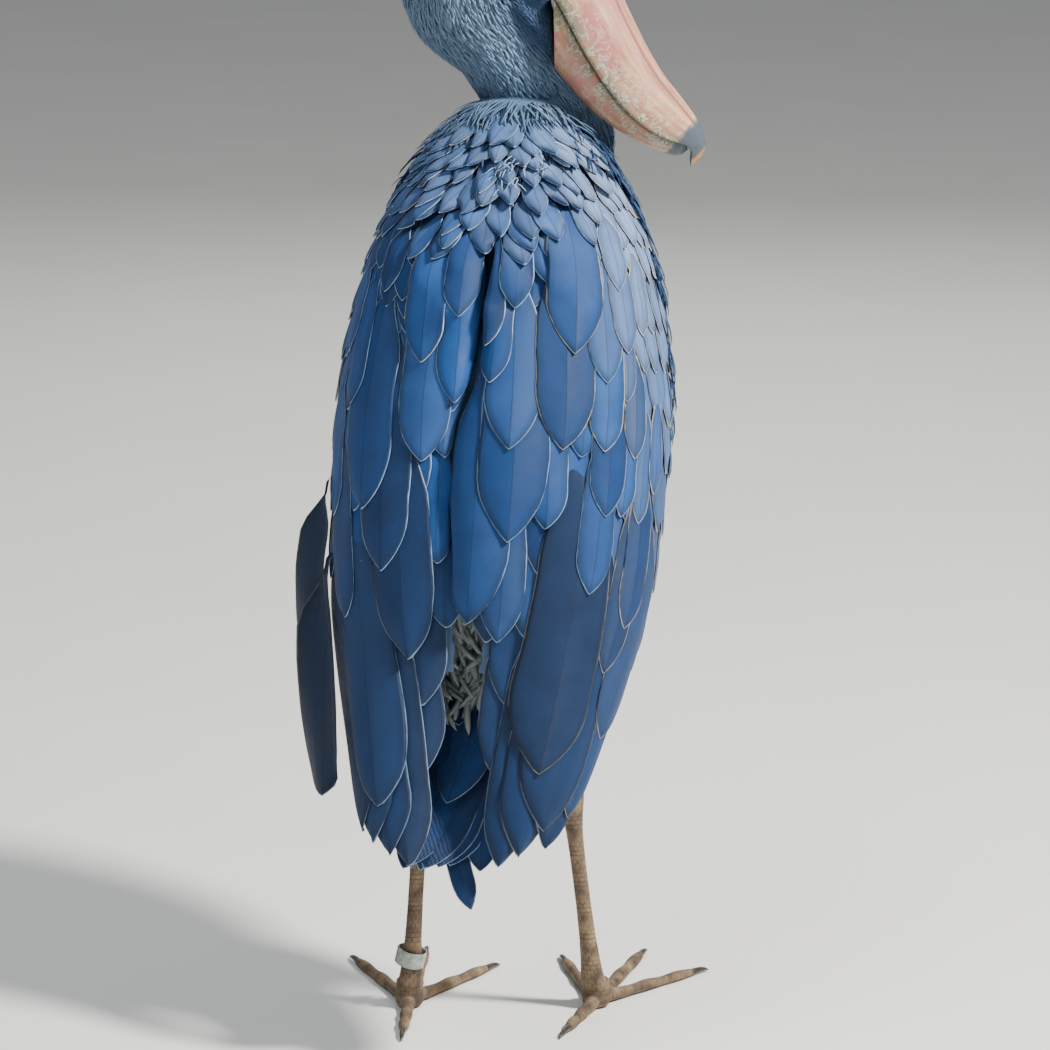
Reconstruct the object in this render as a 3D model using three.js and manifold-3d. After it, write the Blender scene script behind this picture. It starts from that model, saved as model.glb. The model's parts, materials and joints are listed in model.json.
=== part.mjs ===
// A shoebill standing at rest, seen whole: it faces -Y with +Z up, and looks down over its right shoulder.
// Lengths are millimetres. The frame's origin is on the floor, under the middle of the bird.
import * as THREE from "three";
import { mergeVertices } from "three/addons/utils/BufferGeometryUtils.js";
import Module from "manifold-3d";

const wasm = await Module();
wasm.setup();

const GAP = 0.3; // air between two pieces that touch
const PLUMAGE = 12; // depth of the feathers that lie over the back and wings
const LEFT = 1;
const RIGHT = -1;
const degrees = THREE.MathUtils.degToRad;

// The outline of the body with its wings folded, from the neck's root down to the wing tips.
// Each station: centre y, centre z, half width, depth behind the centre, depth in front of it.
const OUTLINE = [
  [-60, 932, 62, 50, 80],
  [-48, 882, 105, 74, 114],
  [-30, 812, 144, 104, 146],
  [-12, 732, 167, 124, 165],
  [10, 642, 178, 130, 167],
  [38, 552, 178, 124, 152],
  [72, 462, 171, 107, 124],
  [112, 377, 151, 82, 92],
  [155, 302, 128, 55, 58],
  [195, 235, 110, 31, 34],
  [226, 176, 86, 14, 14],
];
const BODY_X = -5; // the body's middle is over the middle of the feet
// How much of that outline the trunk fills at each station, down to the root of the tail.
const TRUNK_SHARE = [1, 1, 1, 1, 1, 0.96, 0.8, 0.44, 0.3];
const TRUNK_END = 7.15;

const TAIL = { count: 11, length: 158, width: 43, fan: degrees(13), core: 40 };
const TAIL_SPUR = 46; // how much further the middle feather reaches than the rest
const TAIL_COVERTS = { count: 4, length: 96, width: 34, fan: degrees(13) };

// The head's own frame: origin at the corner of the mouth, +X along the bill, +Z up, +Y to its left.
const MOUTH_CORNER = new THREE.Vector3(-37, -70, 1060);
const HEAD_TURN = degrees(77); // to the bird's right
const BILL_DROP = degrees(48); // below the horizon
// Each station of the head: x, top, underside, half width.
const HEAD = [
  [-140, 26, -6, 8],
  [-130, 47, -34, 29],
  [-106, 62, -57, 43],
  [-76, 71, -66, 50],
  [-44, 75, -66, 52],
  [-16, 70, -60, 51.5],
  [8, 63, -48, 49.5],
];
const HEAD_FRONT = 8;
// The feathered throat, which reaches forward under the lower bill.
const THROAT = [
  [-50, -10, -62, 30],
  [-20, -6, -63, 42],
  [20, -12, -61, 41],
  [46, -30, -57, 33],
  [62, -42, -51, 16],
];
// Where the throat's feathers end on the lower bill: two points of the edge, seen from the side.
const THROAT_EDGE = [
  [8, -6.5],
  [56, -48],
];
// Upper bill: x, culmen, edge of the mouth, half width. The last stations are the hook.
const UPPER_BILL = [
  [HEAD_FRONT + GAP, 61, -6, 47],
  [30, 53, -10.5, 49.5],
  [57, 43.5, -17.5, 51],
  [86, 34.5, -23.5, 51],
  [116, 26.5, -27.8, 49],
  [146, 21, -28.6, 45],
  [175, 19, -24.5, 39],
  [198, 16.5, -16, 31],
  [212, 13.2, -9, 22],
  [221, 9.4, -10, 15],
  [228, 4, -17, 9],
  [232.5, -5, -20.5, 4],
];
// Lower bill: x, edge of the mouth, keel, half width.
const LOWER_BILL = [
  [HEAD_FRONT + GAP, -6, -46, 44.5],
  [30, -10.5, -52.5, 46.5],
  [57, -17.5, -55.5, 47],
  [86, -23.5, -57, 46],
  [116, -27.8, -57, 43],
  [146, -28.6, -52.5, 39],
  [175, -24.5, -44, 33],
  [198, -16, -34, 25],
  [212, -9, -26.5, 16],
  [217.5, -10.4, -20.5, 8],
];
const EYE = { radius: 11.5, x: -20, y: 37.5, z: 36 };
const LID = { radius: 11.2, thickness: 3, out: 9.2, sides: 5, around: 12 };
const NOSTRIL = { x: 27, y: 14, z: 45, length: 8, width: 2.2, depth: 5 };
const CREST = { count: 7, length: 52, width: 16, spread: degrees(40) };

// The neck: centre x, y, z and radius, from inside the body up to the back of the head.
const NECK = [
  [-30, -100, 835, 42],
  [-38, -100, 885, 58],
  [-27, -88, 935, 58],
  [9, -71, 1000, 61],
  [42, -60, 1052, 74],
  [50, -58, 1106, 58],
  [44, -58, 1146, 22],
];
const NECK_FLAT = 0.76; // its depth from side to side of the head, as a share of the other way
const BREAST = { rows: 3, count: 4, length: 126, width: 20 };

// Each leg: side, then x and y of the foot's middle, x and y of the ankle, and the foot's heading outwards.
const LEGS = {
  left: { side: LEFT, foot: [90, 38], ankle: [71, 54], heading: degrees(8) },
  right: { side: RIGHT, foot: [-100, -6], ankle: [-80, 34], heading: degrees(6) },
};
const ANKLE = { z: 242, radius: 14.5 };
const SHIN_RADIUS = 8.3;
const THIGH_END = 300;
const HUB = { radius: 15, top: 24 };
// Each toe: name, angle from straight ahead, length, thickness at its root.
const TOES = [
  ["middle", 0, 152, 7.8],
  ["inner", 33, 128, 7.2],
  ["outer", -30, 136, 7.2],
  ["hind", 178, 84, 7.4],
];
const CLAW = { length: 25, radius: 3.6 };
const LEG_RING = { z: 56, inner: 14.2, wall: 1.6, height: 17, tilt: degrees(-13), aside: 1.25 };

const slate = { roughness: 0.75, metalness: 0 };
const finishes = {
  plumage: new THREE.MeshStandardMaterial({ color: 0x4d6480, ...slate }),
  down: new THREE.MeshStandardMaterial({ color: 0x7f93a3, ...slate }),
  flight: new THREE.MeshStandardMaterial({ color: 0x33475f, ...slate }),
  bill: new THREE.MeshStandardMaterial({ color: 0xc9a58b, roughness: 0.5, metalness: 0 }),
  eye: new THREE.MeshStandardMaterial({ color: 0xd9dcc8, roughness: 0.1, metalness: 0 }),
  scales: new THREE.MeshStandardMaterial({ color: 0x665a4e, roughness: 0.7, metalness: 0 }),
  claw: new THREE.MeshStandardMaterial({ color: 0x2b2622, roughness: 0.4, metalness: 0 }),
  ring: new THREE.MeshStandardMaterial({ color: 0xa9b5a6, roughness: 0.45, metalness: 0 }),
};

// A seeded draw, from -1 to 1.
let seed = 20240611;
function vary() {
  seed = (Math.imul(seed, 1664525) + 1013904223) >>> 0;
  return seed / 2147483648 - 1;
}

const blend = THREE.MathUtils.lerp;
const ease = THREE.MathUtils.smoothstep;

// One column of a table at a place between its stations, on a smooth curve through them.
function along(table, column, place) {
  const i = THREE.MathUtils.clamp(Math.floor(place), 0, table.length - 2);
  const value = (k) => (Array.isArray(table[k]) ? table[k][column] : table[k]);
  const here = value(i);
  const next = value(i + 1);
  const before = i > 0 ? value(i - 1) : 2 * here - next;
  const after = i + 2 < table.length ? value(i + 2) : 2 * next - here;
  const t = place - i;
  const bend = 2 * before - 5 * here + 4 * next - after + t * (3 * (here - next) + after - before);
  return here + 0.5 * t * (next - before + t * bend);
}

// A closed geometry from a list of points and triangles, turned to face outwards.
function closed(points, faces) {
  const geometry = new THREE.BufferGeometry().setFromPoints(points);
  let volume = 0;
  for (let i = 0; i < faces.length; i += 3) {
    const [a, b, c] = [0, 1, 2].map((k) => points[faces[i + k]]);
    volume += a.dot(new THREE.Vector3().crossVectors(b, c));
  }
  geometry.setIndex(volume < 0 ? faces.reverse() : faces);
  return geometry;
}

// Joins rings of points into a closed skin.
function skin(rings) {
  const count = rings[0].length;
  const points = rings.flat();
  const faces = [];
  for (let r = 0; r + 1 < rings.length; r++)
    for (let k = 0; k < count; k++) {
      const a = r * count + k;
      const b = r * count + ((k + 1) % count);
      faces.push(a, b, a + count, b, b + count, a + count);
    }
  for (const [ring, turned] of [
    [0, true],
    [rings.length - 1, false],
  ]) {
    const middle = points.length;
    points.push(rings[ring].reduce((sum, p) => sum.add(p), new THREE.Vector3()).divideScalar(count));
    for (let k = 0; k < count; k++) {
      const a = ring * count + k;
      const b = ring * count + ((k + 1) % count);
      faces.push(middle, turned ? b : a, turned ? a : b);
    }
  }
  return closed(points, faces);
}

function solid(geometry) {
  const bare = geometry.clone();
  for (const name of Object.keys(bare.attributes)) if (name !== "position") bare.deleteAttribute(name);
  const merged = mergeVertices(bare, 1e-4);
  return new wasm.Manifold(
    new wasm.Mesh({
      numProp: 3,
      vertProperties: new Float32Array(merged.attributes.position.array),
      triVerts: new Uint32Array(merged.index.array),
    }),
  );
}

const joined = (list) => wasm.Manifold.union(list);

// The largest closed body: a loose scrap is dropped, and a hollow that joining has sealed is filled.
function largest(shape) {
  return shape.decompose().reduce((best, one) => (one.volume() > best.volume() ? one : best));
}

function piece(name, shape, finish) {
  const mesh = largest(shape).getMesh();
  const geometry = new THREE.BufferGeometry();
  geometry.setAttribute("position", new THREE.BufferAttribute(Float32Array.from(mesh.vertProperties), 3));
  geometry.setIndex(new THREE.BufferAttribute(Uint32Array.from(mesh.triVerts), 1));
  geometry.computeVertexNormals();
  const made = new THREE.Mesh(geometry, finishes[finish]);
  made.name = name;
  return made;
}

const counted = (count) => Array.from({ length: count }, (_, k) => k);
const turns = (count) => counted(count).map((k) => (2 * Math.PI * k) / count);
const steps = (from, to, count) => counted(count + 1).map((k) => blend(from, to, k / count));

// The body's middle line and its direction at a place between the stations of OUTLINE.
function middle(place) {
  return new THREE.Vector3(BODY_X, along(OUTLINE, 0, place), along(OUTLINE, 1, place));
}

// A point of the outline: around is 0 at the middle of the back, and positive to the bird's left.
function outline(place, around, lift = 0, share = 1) {
  const reach = 0.01;
  const down = middle(place + reach).sub(middle(place - reach)).normalize();
  const behind = new THREE.Vector3(0, -down.z, down.y);
  const width = along(OUTLINE, 2, place) * share + lift;
  const depth = along(OUTLINE, Math.cos(around) > 0 ? 3 : 4, place) * share + lift;
  return middle(place)
    .addScaledVector(behind, Math.cos(around) * depth)
    .add(new THREE.Vector3(Math.sin(around) * width, 0, 0));
}

// Along a long vane and a short one: how far from the root, and the share of the full width there.
const LONG_VANE = [
  [0, 0.22],
  [0.13, 0.66],
  [0.4, 0.95],
  [0.7, 1],
  [0.89, 0.72],
];
const SHORT_VANE = [
  [0, 0.3],
  [0.17, 0.7],
  [0.6, 1],
  [0.86, 0.72],
];
const LONG = 140; // vanes at least this long are drawn with more stations
const QUILL = 0.65; // half the thickness of a vane at its middle

// One vane on a surface. It is laid back from its tip, and rises evenly from its sunk root.
// turn is the angle of its lie, and sway bends it sideways. roll lifts its left edge all along,
// and twist lifts it more and more towards the tip.
// free leaves off the sunk root, and lower sets the rest nearer to the body.
function vane(surface, spec, { free = false, lower = 0 } = {}) {
  const { tip, length, width, root, clear, top, quill = QUILL } = spec;
  const { turn = 0, sway = 0, roll = 0, twist = 0 } = spec;
  const shape = length < LONG ? SHORT_VANE : LONG_VANE;
  const reach = 1e-3;
  const rates = ([a, b]) => {
    const here = surface(a, b, 0);
    return [surface(a + reach, b, 0), surface(a, b + reach, 0)].map((next) => next.distanceTo(here) / reach);
  };
  const walked = [...shape.map(([t]) => t), 1].map((t) => ({ t }));
  let spot = [...tip];
  for (let i = walked.length - 1; i >= 0; i--) {
    walked[i].spot = [...spot];
    if (!i) break;
    const reachBack = length * (walked[i].t - walked[i - 1].t);
    const angle = turn + sway * (1 - walked[i].t);
    const [perA, perB] = rates(spot);
    spot = [spot[0] - (Math.cos(angle) * reachBack) / perA, spot[1] - (Math.sin(angle) * reachBack) / perB];
  }
  const risen = shape[1][0];
  const rings = shape.map(([t, share], i) => {
    const [a, b] = walked[i].spot;
    const [perA, perB] = rates([a, b]);
    const half = (width / 2) * share;
    const angle = turn + sway * (1 - t);
    const lift = (i ? blend(clear, top, (t - risen) / (1 - risen)) : root) - lower;
    const edge = (way) =>
      surface(
        a - (way * half * Math.sin(angle)) / perA,
        b + (way * half * Math.cos(angle)) / perB,
        lift + way * (i ? roll + twist * t : 0),
      );
    return [edge(1), surface(a, b, lift + quill), edge(-1), surface(a, b, lift - quill)];
  });
  if (free) rings.shift();
  const end = surface(...walked[walked.length - 1].spot, top - lower);
  const count = rings[0].length;
  const points = [...rings.flat(), end];
  const last = (rings.length - 1) * count;
  const faces = [0, 2, 1, 0, 3, 2];
  for (let r = 0; r + 1 < rings.length; r++)
    for (let k = 0; k < count; k++) {
      const p = r * count + k;
      const q = r * count + ((k + 1) % count);
      if (k % 2) faces.push(p, q, q + count, p, q + count, p + count);
      else faces.push(p, q, p + count, q, q + count, p + count);
    }
  for (let k = 0; k < count; k++) faces.push(last + k, last + ((k + 1) % count), points.length - 1);
  return solid(closed(points, faces));
}

// Lays vanes over one another, the one with the hindmost root first.
// Each rises more steeply until all but its root is clear of those below it.
const RISE = 0.5;
const HIGHEST = 7;
function laid(surface, specs, below = []) {
  const under = [...below];
  return specs.map((spec) => {
    const raised = (by) => ({ ...spec, top: spec.top + by });
    const touches = (by) => {
      const tests = [0, GAP].map((lower) => vane(surface, raised(by), { free: true, lower }));
      return under.some((other) => tests.some((test) => test.intersect(other).volume() > 0));
    };
    let by = 0;
    while (by < HIGHEST && touches(by)) by += RISE;
    const one = vane(surface, raised(by));
    under.push(one);
    return one;
  });
}

// A straight frame for a loose vane: a runs along the lie, b to its left, lift away from the body.
function sheet(origin, forward, out, curl = 0) {
  const ahead = forward.clone().normalize();
  const side = new THREE.Vector3().crossVectors(out, ahead).normalize();
  const normal = new THREE.Vector3().crossVectors(ahead, side);
  return (a, b, lift) =>
    origin
      .clone()
      .addScaledVector(ahead, a)
      .addScaledVector(side, b)
      .addScaledVector(normal, lift + curl * a * a);
}

// The trunk: the outline itself in front, and a plumage depth inside it behind.
const TRUNK_SIDES = 22;
function trunkSurface(place, around, lift = 0) {
  const bare = PLUMAGE * (1 - ease(Math.abs(around), degrees(124), degrees(165)));
  return outline(place, around, lift - bare, along(TRUNK_SHARE, 0, Math.min(place, TRUNK_SHARE.length - 1)));
}

function trunk(grown = 0) {
  const places = [-0.12, 0, 0.5, 1, 1.6, 2.3, 3.1, 4, 4.9, 5.6, 6.2, 6.7, TRUNK_END];
  const rings = places.map((place, i) =>
    turns(TRUNK_SIDES).map((angle) => {
      const around = angle > Math.PI ? angle - 2 * Math.PI : angle;
      if (i) return trunkSurface(place, around, grown);
      return outline(place, around, -18 + grown, 0.9).addScaledVector(new THREE.Vector3(0, 0, 1), grown);
    }),
  );
  const tail = middle(TRUNK_END).sub(middle(TRUNK_END - 0.1)).normalize();
  rings[rings.length - 1].forEach((point) => point.addScaledVector(tail, grown));
  return solid(skin(rings));
}

// The folded wing's own shell: a patch of the outline, under the feathers.
const WING = { from: 1.05, to: 7.1, depth: 11, rows: 10, columns: 5 };
const innerEdge = (place) => degrees(blend(58, 3.2, ease(place, WING.from - 0.2, 2.9)));
const lowerEdge = (place) =>
  degrees(112 - 12 * ease(place, 4.6, WING.to) - 8 * (1 - ease(place, WING.from, 2.4)));

function wingShell(side, grown = 0) {
  const margin = grown / 120; // the gap as an angle, at about the body's half width
  const places = steps(WING.from - grown / 80, WING.to + grown / 80, WING.rows);
  const layer = (inside) =>
    places.map((place, r) =>
      steps(0, 1, WING.columns).map((u) => {
        const around = blend(innerEdge(place) - margin, lowerEdge(place) + margin, u);
        const end = r === 0 || r === WING.rows;
        const rim = end || u === 0 || u === 1;
        const thick = (WING.depth * (1 - 0.45 * ease(place, 4.5, WING.to))) / 2;
        const half = (rim ? 0.45 : 1) * thick + grown;
        return outline(place, side * around, -PLUMAGE - thick + (inside ? -half : half));
      }),
    );
  const columns = WING.columns + 1;
  const top = layer(false).flat();
  const under = layer(true).flat();
  const faces = [];
  const quad = (a, b, c, d) => faces.push(a, b, c, a, c, d);
  const shift = top.length;
  for (let r = 0; r < WING.rows; r++)
    for (let c = 0; c < WING.columns; c++) {
      const a = r * columns + c;
      quad(a, a + 1, a + columns + 1, a + columns);
      quad(a + shift, a + columns + shift, a + columns + 1 + shift, a + 1 + shift);
    }
  const rim = [
    ...counted(columns),
    ...counted(WING.rows).map((r) => (r + 1) * columns + WING.columns),
    ...counted(WING.columns).map((c) => (WING.rows + 1) * columns - 2 - c),
    ...counted(WING.rows - 1).map((r) => (WING.rows - 1 - r) * columns),
  ];
  rim.forEach((a, i) => {
    const b = rim[(i + 1) % rim.length];
    quad(a, a + shift, b + shift, b);
  });
  return solid(closed([...top, ...under], faces));
}

// Tiers of a wing, from the shoulder down. Each: tip station, angles of the first and last vane, how many,
// length, width, height of the tips over the shell.
const TIERS = [
  [2.05, 64, 98, 3, 62, 40, 4],
  [2.6, 45, 103, 4, 72, 40, 4.4],
  [3.1, 30, 98, 4, 80, 43, 5],
  [3.62, 18, 102, 4, 92, 46, 5.6],
  [4.1, 8, 52, 3, 106, 50, 6.4],
  [4.25, 72, 110, 3, 94, 40, 5.4],
  [4.75, 19, 106, 4, 116, 47, 6.6],
  [5.35, 8, 52, 3, 136, 52, 7.6],
  [5.45, 72, 106, 3, 112, 40, 6.2],
  [6, 19, 94, 4, 150, 48, 8],
  [6.6, 9, 52, 3, 172, 53, 9],
  [6.85, 68, 96, 3, 168, 42, 8],
  [7.6, 22, 84, 4, 200, 50, 9],
  [8.45, 26, 80, 4, 226, 50, 9],
  [9.2, 22, 62, 3, 254, 52, 8],
];
const CORE_SINK = -5;

function tierVanes(side) {
  return TIERS.flatMap(([station, from, to, count, length, width, height]) =>
    steps(from, to, count - 1).map((angle, k) => ({
      tip: [station + 0.1 * vary() - (0.1 * k) / count, side * degrees(angle + 1.2 * vary())],
      length: length * (1 + 0.04 * vary()),
      width: width * (1 + 0.03 * vary()),
      turn: side * degrees(-3 + 1.5 * vary()),
      sway: side * degrees(6),
      root: -PLUMAGE + CORE_SINK,
      clear: -PLUMAGE + 0.9,
      top: -PLUMAGE + height,
      roll: side * (length > LONG ? 0.9 : 0),
    })),
  ).reverse();
}

// The left wing's two outermost primaries hang out of line and away from the body.
const LOOSE = [
  { station: 6.9, angle: 88, length: 190, width: 48, turn: 6, out: 46, twist: 12 },
  { station: 8.62, angle: 90, length: 260, width: 40, turn: 3, out: 50, twist: 40 },
];

function looseVanes(side) {
  return LOOSE.map(({ station, angle, length, width, turn, out, twist }) => ({
    tip: [station, side * degrees(angle)],
    length,
    width,
    turn: side * degrees(turn),
    sway: side * degrees(10),
    root: -PLUMAGE + CORE_SINK,
    clear: -PLUMAGE + 2,
    top: out,
    twist: side * twist,
  })).reverse();
}

function wingParts(side, bare) {
  const specs = tierVanes(side);
  if (side === LEFT) specs.splice(11, 0, ...looseVanes(side));
  const own = [[side, 0, 0], side * BODY_X + GAP];
  const clear = laid(outline, specs).map((one) => one.subtract(bare).trimByPlane(...own));
  return [wingShell(side), ...clear];
}

// Small scale-like feathers of the upper back, in the wedge between the wings.
const MANTLE = [
  [0.95, 66, 7, 46],
  [1.32, 56, 6, 47],
  [1.7, 45, 5, 48],
  [2.08, 33, 4, 50],
  [2.5, 20, 3, 54],
  [2.95, 8, 2, 60],
  [3.3, 0, 1, 66],
];
// Tufts of down over the root of the tail: tip station, angles of the outermost, how many, length, height.
const RUMP = [
  [6.95, 34, 5, 66, 7],
  [7.6, 26, 4, 70, 8],
];

function mantleVanes(below) {
  const specs = MANTLE.flatMap(([station, angle, count, length]) =>
    (count > 1 ? steps(-angle, angle, count - 1) : [0]).map((around) => ({
      tip: [station + 0.04 * vary(), degrees(around + vary())],
      length,
      width: 32,
      turn: degrees(0.1 * around),
      root: -PLUMAGE - 5,
      clear: -PLUMAGE + 1.2,
      top: -PLUMAGE + 4.4,
    })),
  ).reverse();
  return laid(outline, specs, below);
}

// The back of the trunk itself, which narrows under the wings.
function rumpSurface(place, around, lift) {
  return outline(place, around, lift, along(TRUNK_SHARE, 0, Math.min(place, TRUNK_SHARE.length - 1)));
}

function rumpVanes() {
  const specs = RUMP.flatMap(([station, angle, count, length, height]) =>
    steps(-angle, angle, count - 1).map((around) => ({
      tip: [station + 0.06 * vary(), degrees(around)],
      length: length * (1 + 0.06 * vary()),
      width: 22,
      root: -PLUMAGE - 5,
      clear: -PLUMAGE + 1.2,
      top: -PLUMAGE + height,
    })),
  ).reverse();
  return laid(rumpSurface, specs);
}

// Long narrow plumes of the lower neck and breast.
function breastVanes() {
  const specs = counted(BREAST.rows).flatMap((row) =>
    steps(-1, 1, BREAST.count - 1 + (row % 2)).map((u) => ({
      tip: [2.1 + 0.85 * row + 0.1 * vary(), Math.PI + u * degrees(27 + 3 * row) + degrees(2 * vary())],
      length: BREAST.length * (0.85 + 0.07 * row),
      width: BREAST.width,
      turn: u * degrees(-6),
      root: -6,
      clear: 1.4,
      top: 8,
      quill: 0.9,
    })),
  ).reverse();
  return laid(outline, specs);
}

function body(wingCuts, wingSolids) {
  const bare = trunk().subtract(joined(wingCuts));
  const vanes = [...mantleVanes(wingSolids), ...rumpVanes(), ...breastVanes()];
  return piece("torso", joined([bare, joined(vanes).subtract(neckShape(GAP))]), "plumage");
}

// The fan of the tail: its own short root, and vanes with the middle pair uppermost.
function tailFrame(inset) {
  const at = middle(TRUNK_END);
  const down = middle(TRUNK_END + 0.05).sub(at).normalize();
  const behind = new THREE.Vector3(0, -down.z, down.y);
  return { at: at.addScaledVector(down, inset), down, behind };
}

function tail() {
  const { at, down, behind } = tailFrame(GAP);
  const across = new THREE.Vector3(1, 0, 0);
  const rings = [0, 0.35, 0.75, 1].map((t, i) =>
    turns(12).map((angle) =>
      at
        .clone()
        .addScaledVector(down, t * TAIL.core)
        .addScaledVector(across, Math.cos(angle) * [34, 35, 31, 22][i])
        .addScaledVector(behind, Math.sin(angle) * [14, 13, 10, 5][i]),
    ),
  );
  const fan = ({ count, length, width, fan: spread }, start, lift, layer, spur = 0) =>
    steps(-1, 1, count - 1).map((u) => {
      const angle = u * spread;
      const forward = down.clone().multiplyScalar(Math.cos(angle)).addScaledVector(across, Math.sin(angle));
      const origin = at
        .clone()
        .addScaledVector(down, start)
        .addScaledVector(across, u * 20)
        .addScaledVector(behind, lift - layer * Math.abs(u));
      const long = length * (1 - 0.06 * u * u + 0.012 * vary()) + (u ? 0 : spur);
      return vane(sheet(origin, forward, behind), {
        tip: [long, 0],
        length: long,
        width,
        root: 0,
        clear: 0,
        top: 2,
        roll: 0.6 * Math.sign(u),
      });
    });
  const quills = fan(TAIL, TAIL.core - 22, 2, 9, TAIL_SPUR);
  const coverts = fan(TAIL_COVERTS, 8, 8, 3);
  return piece("tail", joined([solid(skin(rings)), ...quills, ...coverts]), "flight");
}

// The head and bill are made in their own frame, then set by this matrix.
function headMatrix() {
  const turn = new THREE.Matrix4().makeRotationZ(-Math.PI / 2 - HEAD_TURN);
  const drop = new THREE.Matrix4().makeRotationY(BILL_DROP);
  return new THREE.Matrix4().makeTranslation(MOUTH_CORNER).multiply(turn).multiply(drop);
}

const placed = (shape) => shape.transform(headMatrix().elements);

// Rings of a loft along x, from a table of x, top, underside and half width.
function headRings(table, sides, grown, shape = (angle) => [Math.cos(angle), Math.sin(angle)]) {
  return table.map(([x, top, under, half]) =>
    turns(sides).map((angle) => {
      const [c, s] = shape(angle);
      const z = (top + under) / 2 + s * ((top - under) / 2 + grown);
      return new THREE.Vector3(x, c * (half + grown), z);
    }),
  );
}

const edgeRun = new THREE.Vector2(...THROAT_EDGE[1]).sub(new THREE.Vector2(...THROAT_EDGE[0])).normalize();
const EDGE_NORMAL = [-edgeRun.y, 0, edgeRun.x];
const EDGE_OFFSET = EDGE_NORMAL[0] * THROAT_EDGE[0][0] + EDGE_NORMAL[2] * THROAT_EDGE[0][1];
const backwards = (normal) => normal.map((n) => -n);

function head(grown = 0) {
  const skull = solid(skin(headRings(HEAD, 18, grown)));
  const throat = solid(skin(headRings(THROAT, 12, grown)));
  const whole = joined([skull, throat.trimByPlane(backwards(EDGE_NORMAL), -EDGE_OFFSET - grown)]);
  const lids = [LEFT, RIGHT].map((side) => {
    const ring = new THREE.TorusGeometry(LID.radius, LID.thickness, LID.sides, LID.around);
    ring.rotateX(Math.PI / 2).rotateZ(side * degrees(-9));
    ring.translate(EYE.x, side * (EYE.y + LID.out), EYE.z);
    return solid(ring);
  });
  return joined([whole, ...lids]);
}

function eye(side, grown = 0) {
  const ball = new THREE.SphereGeometry(EYE.radius + grown, 12, 8);
  ball.translate(EYE.x, side * EYE.y, EYE.z);
  return solid(ball);
}

// Loose feathers of the nape: a short ragged crest that points back and a little up.
function crestVanes() {
  return steps(-1, 1, CREST.count - 1).map((u) => {
    const spread = u * CREST.spread;
    const root = new THREE.Vector3(-110 - 6 * Math.cos(2 * u), 30 * u, 55 - 20 * u * u);
    const forward = new THREE.Vector3(-Math.cos(spread), 0.6 * Math.sin(spread), -0.28 + 0.06 * vary());
    const out = new THREE.Vector3(-0.3, 0.8 * Math.sin(spread), 1);
    return vane(sheet(root, forward, out), {
      tip: [CREST.length * (1 + 0.15 * vary()), 0],
      length: CREST.length,
      width: CREST.width,
      root: -7,
      clear: 1,
      top: 5 + 2 * vary(),
      quill: 1,
    });
  });
}

const SECTION = 14; // points round the bill
// A bill section: a broad arch with a narrow raised ridge along its top, flat below.
function archSection(keel) {
  return (angle) => {
    const s = Math.sin(angle);
    const c = Math.cos(angle);
    if (s < 0) return [c, -1];
    const ridge = Math.abs(angle - Math.PI / 2) < 0.1 ? 1 : 1 - keel;
    return [Math.sign(c) * Math.abs(c) ** 0.75, -1 + 2 * ridge * s ** 0.8];
  };
}

function billUpper(grown = 0) {
  const rings = headRings(UPPER_BILL, SECTION * 2, grown, archSection(0.06)).map((ring) =>
    ring.filter((_, k) => k <= SECTION || k % 3 === 0),
  );
  const hollow = [LEFT, RIGHT].map((side) => {
    const slit = new THREE.SphereGeometry(1, 8, 6);
    slit.scale(NOSTRIL.length, NOSTRIL.width, NOSTRIL.depth);
    slit.rotateY(degrees(14)).rotateX(side * degrees(-25));
    slit.translate(NOSTRIL.x, side * NOSTRIL.y, NOSTRIL.z);
    return solid(slit);
  });
  return solid(skin(rings)).subtract(joined(hollow));
}

function billLower(grown = 0) {
  const keeled = (angle) => {
    const s = Math.sin(angle);
    const c = Math.cos(angle);
    return s > 0 ? [c, 1] : [Math.sign(c) * Math.abs(c) ** 0.7, 1 - 2 * Math.abs(s) ** 0.75];
  };
  const lowered = LOWER_BILL.map(([x, top, ...rest]) => [x, top - GAP, ...rest]);
  const rings = headRings(lowered, SECTION * 2, grown, keeled).map((ring) =>
    ring.filter((_, k) => k >= SECTION || k === 0 || k % 3 === 0),
  );
  return solid(skin(rings)).trimByPlane(EDGE_NORMAL, EDGE_OFFSET + GAP - grown);
}

// A round limb along stations of x, y, z and radius. Its rings are level, or square to its run.
// The rings may be flattened along a given axis.
const UP = new THREE.Vector3(0, 0, 1);
const AHEAD = new THREE.Vector3(0, 1, 0);
function limb(stations, sides, { grown = 0, level = false, axis = AHEAD, flat = 1 } = {}) {
  const points = stations.map(([x, y, z]) => new THREE.Vector3(x, y, z));
  const rings = stations.map(([, , , radius], i) => {
    const from = points[Math.max(i - 1, 0)];
    const to = points[Math.min(i + 1, points.length - 1)];
    const ahead = level ? UP : to.clone().sub(from).normalize();
    const beside = Math.abs(ahead.dot(axis)) > 0.9 ? UP : axis;
    const across = new THREE.Vector3().crossVectors(ahead, beside).normalize();
    const other = new THREE.Vector3().crossVectors(ahead, across);
    return turns(sides).map((angle) =>
      points[i]
        .clone()
        .addScaledVector(across, Math.cos(angle) * (radius + grown))
        .addScaledVector(other, Math.sin(angle) * (radius * flat + grown)),
    );
  });
  return solid(skin(rings));
}

function neckStations() {
  const columns = [0, 1, 2, 3];
  return steps(0, NECK.length - 1, 7).map((place) => columns.map((column) => along(NECK, column, place)));
}

function neckShape(grown = 0) {
  const axis = new THREE.Vector3(0, 1, 0).transformDirection(headMatrix());
  return limb(neckStations(), 14, { grown, axis, flat: NECK_FLAT });
}

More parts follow.
